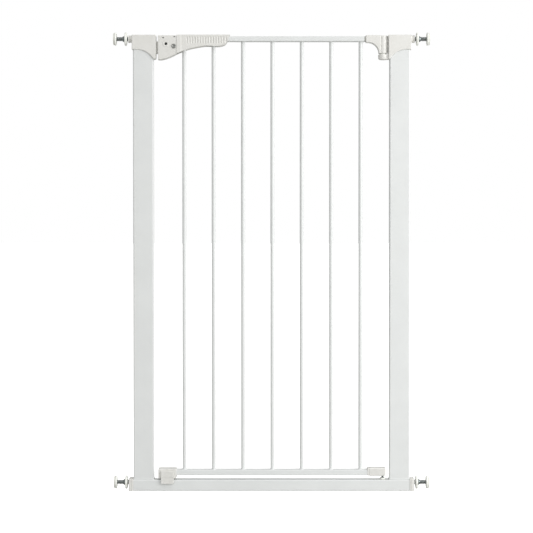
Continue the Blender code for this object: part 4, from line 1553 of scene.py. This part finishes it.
@dataclass
class LatchHousing(Shell):
    """The fixed housing at the top rail's free end, which guides the bolt."""

    depth: float = 28 * MM
    curve: Outline = field(
        default_factory=lambda: [(0, 0), (9, 0.3), (21, 3.5), (32, 8.0), (43.2, 13.9)]
    )
    reach: float = 0.5 * MM
    notches: Outline = field(default_factory=lambda: [(12.0, 6.8), (38.0, 4.6)])
    ring: Outline = field(
        default_factory=lambda: [(7.4, -1.0), (7.4, 0.15), (6.9, 0.5), (4.2, 0.5), (3.6, 0.1)]
    )
    rivet_head: Outline = field(
        default_factory=lambda: [
            (5.3, 0.0),
            (5.3, 0.5),
            (5.0, 1.1),
            (4.4, 1.6),
            (3.8, 1.8),
            (3.2, 1.6),
            (2.7, 1.1),
            (2.2, 0.9),
            (0.3, 0.9),
        ]
    )

    def build(self) -> None:
        """Models both halves and the rivet, and finishes the screw and the spring."""
        for name, way in (("latch_housing_front", -1), ("latch_housing_rear", 1)):
            self.housing(name, way)
        self.rivet()
        # The screw's near-black zinc is painted shade for the deep hole it sits in.
        coat("housing_screw", HOLE_SHADE_ZINC)
        coat("latch_spring", SPRING_WIRE)

    def outline(self, steps: int = 6) -> Outline:
        """Gives the housing's outline: a straight top, and a lower edge that sweeps up.

        Args:
            steps: how finely its curves are drawn.

        Returns:
            Its points, anticlockwise.
        """
        low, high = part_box("latch_housing_front")
        lower = smooth_line([(low.x + x * MM, low.z + z * MM) for x, z in self.curve], steps)
        corner = 1.6 * MM
        top_left = [(low.x, high.z)]
        if steps > 1:
            top_left = arc(low.x + corner, high.z - corner, corner, 90, 180, steps)
        return [*lower, (high.x + self.reach, high.z), *top_left]

    def housing(self, name: str, way: int) -> None:
        """Models one half with its holes, and in front the ring and the notches.

        Args:
            name: the part it stands for.
            way: -1 for the front half and 1 for the rear one.
        """
        low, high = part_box("latch_housing_front")
        seam_x = high.x + self.reach
        shell = self.half(f"{name}_moulding", self.outline(), self.outline(1), self.depth, way, seam_x)
        rail_low, rail_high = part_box("door_top_rail")
        bolt_low, bolt_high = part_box("latch_bolt")
        screw, rivet = middle_of("housing_screw"), middle_of("housing_rivet")
        face = self.depth / 2
        if way < 0:
            ring = [(radius * MM, up * MM) for radius, up in self.ring]
            combine(shell, "UNION", turned("ring", ring, (screw.x, -face, screw.z), (0, -1, 0), 56))
        boss_ends = ((screw.x, way * 1.5 * MM, screw.z), (screw.x, way * (face - MM), screw.z))
        combine(shell, "UNION", rod("boss", 4.2 * MM, *boss_ends))
        gap = 0.3 * MM
        ways = [
            block(
                "rail_way",
                (rail_low.x - MM, rail_low.y - gap, 1014.5 * MM),
                (high.x + PAST, rail_high.y + gap, rail_high.z + gap),
            ),
            block(
                "bolt_way",
                (low.x - PAST, -6.6 * MM, bolt_low.z - gap),
                (low.x + 7 * MM, 6.6 * MM, bolt_high.z + gap),
            ),
            rod("rivet_hole", 2.8 * MM, (rivet.x, -3 * PAST, rivet.z), (rivet.x, 3 * PAST, rivet.z)),
            rod("shank_hole", 1.8 * MM, (screw.x, -3 * PAST, screw.z), (screw.x, 11 * MM, screw.z)),
            rod("head_hole", 3.2 * MM, (screw.x, -3 * PAST, screw.z), (screw.x, -8 * MM, screw.z)),
        ]
        for along, tall in self.notches:
            x = low.x + along * MM
            ways.append(
                block(
                    "notch",
                    (x - 1.7 * MM, -3 * PAST, high.z - tall * MM),
                    (x + 1.7 * MM, -face + 3.4 * MM, high.z - tall * MM + 2.4 * MM),
                )
            )
        combine(shell, "DIFFERENCE", *ways)
        face_out(shell)
        dress(shell, "door", NYLON, [name])

    def rivet(self) -> None:
        """Models the rivet through both halves, with a rolled rim round a dished middle."""
        at = middle_of("housing_rivet")
        half, shank = self.depth / 2, 2.5 * MM
        end = [(radius * MM, up * MM) for radius, up in self.rivet_head]
        upper = [(radius, half + up) for radius, up in end]
        lower = [(radius, -half - up) for radius, up in reversed(end)]
        profile = [*lower, (shank, -half), (shank, half), *upper]
        rivet = turned("housing_rivet_rolled", profile, (at.x, 0, at.z), (0, -1, 0), 40)
        dress(rivet, "door", RIVET_STEEL, ["housing_rivet"])


@dataclass
class Grip(Shell):
    """The handle that slides along the top rail and draws the bolt."""

    depth: float = 30 * MM
    curve: Outline = field(
        default_factory=lambda: [
            (0, 0),
            (11.7, 4.9),
            (28.7, 10.9),
            (48.7, 15.1),
            (68.7, 17.7),
            (93.7, 16.7),
            (107.7, 19.3),
            (115.2, 26.1),
            (122.7, 43.1),
        ]
    )
    ribs: int = 16
    rib_pitch: float = 6 * MM
    rib_start: float = 23.5 * MM
    rib_radius: float = 2.5 * MM
    rib_depth: float = 1.0 * MM
    crease_x: float = 8.2 * MM
    crease_depth: float = 0.7 * MM
    rib_low: float = 22 * MM
    rib_high: float = 39 * MM
    mouth: float = 11.5 * MM

    def build(self) -> None:
        """Models both halves, and finishes the screws and the bolt."""
        for name, way in (("grip_front", -1), ("grip_rear", 1)):
            self.grip(name, way)
        for screw in ("grip_screw_left", "grip_screw_right"):
            coat(screw, ZINC_PLATE)
        coat("latch_bolt", NYLON)

    def outline(self, steps: int = 6) -> Outline:
        """Gives the grip's outline: a straight top, and a lower edge shaped to the fingers.

        Args:
            steps: how finely its curves are drawn.

        Returns:
            Its points, anticlockwise.
        """
        low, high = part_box("grip_front")
        lower = smooth_line([(low.x + x * MM, low.z + z * MM) for x, z in self.curve], steps)
        return [*lower, (low.x, high.z)]

    def grip(self, name: str, way: int) -> None:
        """Models one half with its finger ribs and the ways for the rail and bars.

        Args:
            name: the part it stands for.
            way: -1 for the front half and 1 for the rear one.
        """
        low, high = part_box("grip_front")
        shell = self.half(f"{name}_moulding", self.outline(), self.outline(1), self.depth, way, low.x)
        rail_low, rail_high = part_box("door_top_rail")
        face = self.depth / 2
        play, bar = 0.4 * MM, 5.45 * MM
        ways = [
            block(
                "rail_way",
                (low.x - PAST, rail_low.y - play, rail_low.z - play),
                (high.x + PAST, rail_high.y + play, rail_high.z + play),
            ),
            block(
                "mouth",
                (low.x - PAST, -self.mouth, 1017.8 * MM),
                (low.x + 2 * self.wall, self.mouth, rail_high.z),
            ),
        ]
        for number in (1, 2):
            x = middle_of(f"door_bar_{number}").x
            ways.append(block("bar_slot", (x - bar - 12 * MM, -bar, 0.9), (x + bar, bar, rail_low.z)))
        combine(shell, "DIFFERENCE", *ways)
        self.cut_ribs(shell, low, way * face)
        if way > 0:
            for word in ("left", "right"):
                at = middle_of(f"grip_screw_{word}")
                boss = rod("boss", 4.0 * MM, (at.x, 1.2 * MM, at.z), (at.x, face - MM, at.z))
                combine(shell, "UNION", boss)
                hole = rod("head_hole", 2.9 * MM, (at.x, 8 * MM, at.z), (at.x, 3 * PAST, at.z))
                shank = rod("shank_hole", 1.8 * MM, (at.x, -PAST, at.z), (at.x, PAST, at.z))
                combine(shell, "DIFFERENCE", hole, shank)
        face_out(shell)
        dress(shell, "latch", NYLON, [name])

    def cut_ribs(self, shell: bpy.types.Object, low: Vector, face: float) -> None:
        """Lowers the face beyond a soft crease, and scoops out the hollows between the ribs.

        Args:
            shell: the half.
            low: the grip's lowest corner.
            face: where its outer face is.
        """
        reach = 1 if face > 0 else -1
        lowered = face - reach * self.crease_depth
        ends = sorted((lowered, lowered + reach * 2 * PAST))
        crease = low.x + self.crease_x
        plane = block("plane", (crease, ends[0], low.z - 2 * PAST), (crease + 0.2, ends[1], low.z + 7 * PAST))
        soften(plane, 3.0 * MM, 6)
        radius = self.rib_radius
        axis_y = lowered + reach * (radius - self.rib_depth)
        x = low.x + self.rib_start
        ends = ((x, axis_y, low.z + self.rib_low), (x, axis_y, low.z + self.rib_high))
        scoop = rod("scoop", radius, *ends, 28)
        soften(scoop, 0.9 * radius, 5, 60)
        step = {"use_relative_offset": False, "use_constant_offset": True}
        apply(scoop, "ARRAY", count=self.ribs, constant_offset_displace=(self.rib_pitch, 0, 0), **step)
        combine(shell, "DIFFERENCE", plane, scoop)


# --------------------------------------------------------------------- studio


@dataclass
class Studio:
    """A white sweep under soft light that comes mostly from the right."""

    camera_at: Point = (-0.0117, -3.5, 0.64)
    pitch: float = radians(1.0)
    middle_z: float = 0.52
    lens: float = 102.0
    floor_reach: float = 30.0
    light_from: Point = (0.75, -0.6, 0.2)
    dim: float = 0.27
    bright: float = 1.16

    def build(self) -> None:
        """Sets up the floor, the light and the camera."""
        self.floor()
        self.surroundings()
        self.lamps()
        self.camera()
        bpy.context.scene.view_settings.view_transform = "Standard"

    def floor(self) -> None:
        """Lays the pale floor: burnt out white to look at, and a mild reflector for the rest."""
        start()
        bpy.ops.mesh.primitive_plane_add(size=2 * self.floor_reach)
        floor = named("studio_floor")
        paper = bpy.data.materials.new("white background paper")
        paper.use_nodes = True
        tree = paper.node_tree
        shader = tree.nodes["Principled BSDF"]
        place = add_node(tree, "ShaderNodeTexCoord", {}, {}).outputs["Object"]
        fibres = add_node(tree, "ShaderNodeTexNoise", {}, {"Vector": place, "Scale": 400.0})
        reach = {"Value": fibres.outputs["Fac"], "To Min": 0.85, "To Max": 0.95}
        rough = add_node(tree, "ShaderNodeMapRange", {}, reach)
        tree.links.new(rough.outputs["Result"], shader.inputs["Roughness"])
        shader.inputs["Base Color"].default_value = linear("C8C8C6")
        shader.inputs["Specular IOR Level"].default_value = 0.0
        shader.inputs["Emission Color"].default_value = (1, 1, 1, 1)
        seen = add_node(tree, "ShaderNodeLightPath", {}, {}).outputs["Is Camera Ray"]
        tree.links.new(seen, shader.inputs["Emission Strength"])
        floor.data.materials.append(paper)

    def surroundings(self) -> None:
        """Makes a white room whose light comes from the right and from above."""
        world = bpy.data.worlds.new("white room")
        bpy.context.scene.world = world
        world.use_nodes = True
        tree = world.node_tree
        way = add_node(tree, "ShaderNodeTexCoord", {}, {}).outputs["Generated"]
        lit = {0: way, 1: Vector(self.light_from).normalized()}
        facing = add_node(tree, "ShaderNodeVectorMath", {"operation": "DOT_PRODUCT"}, lit).outputs["Value"]
        reach = {"Value": facing, "From Min": -0.9, "From Max": 0.9}
        reach |= {"To Min": self.dim, "To Max": self.bright}
        level = add_node(tree, "ShaderNodeMapRange", {"interpolation_type": "SMOOTHSTEP"}, reach)
        seen = add_node(tree, "ShaderNodeLightPath", {}, {}).outputs["Is Camera Ray"]
        either = {0: seen, 1: level.outputs["Result"]}
        strength = add_node(tree, "ShaderNodeMath", {"operation": "MAXIMUM"}, either)
        room = tree.nodes["Background"]
        room.inputs["Color"].default_value = (1, 1, 1, 1)
        tree.links.new(strength.outputs["Value"], room.inputs["Strength"])

    def lamps(self) -> None:
        """Hangs a large soft box at the right."""
        lamp = bpy.data.lights.new("soft_box", "AREA")
        lamp.shape, lamp.size, lamp.size_y, lamp.energy = "RECTANGLE", 0.9, 1.6, 30.0
        box = bpy.data.objects.new("soft_box", lamp)
        bpy.context.scene.collection.objects.link(box)
        box.location = (2.2, -1.3, 1.1)
        box.rotation_euler = (Vector((0.2, 0, 0.55)) - box.location).to_track_quat("-Z", "Y").to_euler()

    def camera(self) -> None:
        """Stands the camera in front of the gate, level with its upper half, tipped down a little."""
        data = bpy.data.cameras.new("camera")
        data.sensor_width, data.lens = 36.0, self.lens
        seen_height = data.sensor_width / self.lens * -self.camera_at[1]
        aimed_z = self.camera_at[2] + self.camera_at[1] * tan(self.pitch)
        data.shift_y = (self.middle_z - aimed_z) / seen_height
        camera = bpy.data.objects.new("camera", data)
        bpy.context.scene.collection.objects.link(camera)
        camera.location = self.camera_at
        camera.rotation_euler = (pi / 2 - self.pitch, 0, 0)
        bpy.context.scene.camera = camera


def main() -> None:
    """Builds the studio and every sub-assembly of the gate."""
    logging.basicConfig(level=logging.INFO, format="%(name)s: %(message)s")
    Studio().build()
    assemblies = [
        FrameTubes(),
        CornerCap(Side.LEFT),
        CornerCap(Side.RIGHT),
        RailEndCaps(),
        Spindles(),
        DoorTubes(),
        HingeFittings(),
        LatchBlock(),
        LatchHousing(),
        Grip(),
    ]
    for assembly in assemblies:
        assembly.build()


if __name__ == "__main__":
    main()
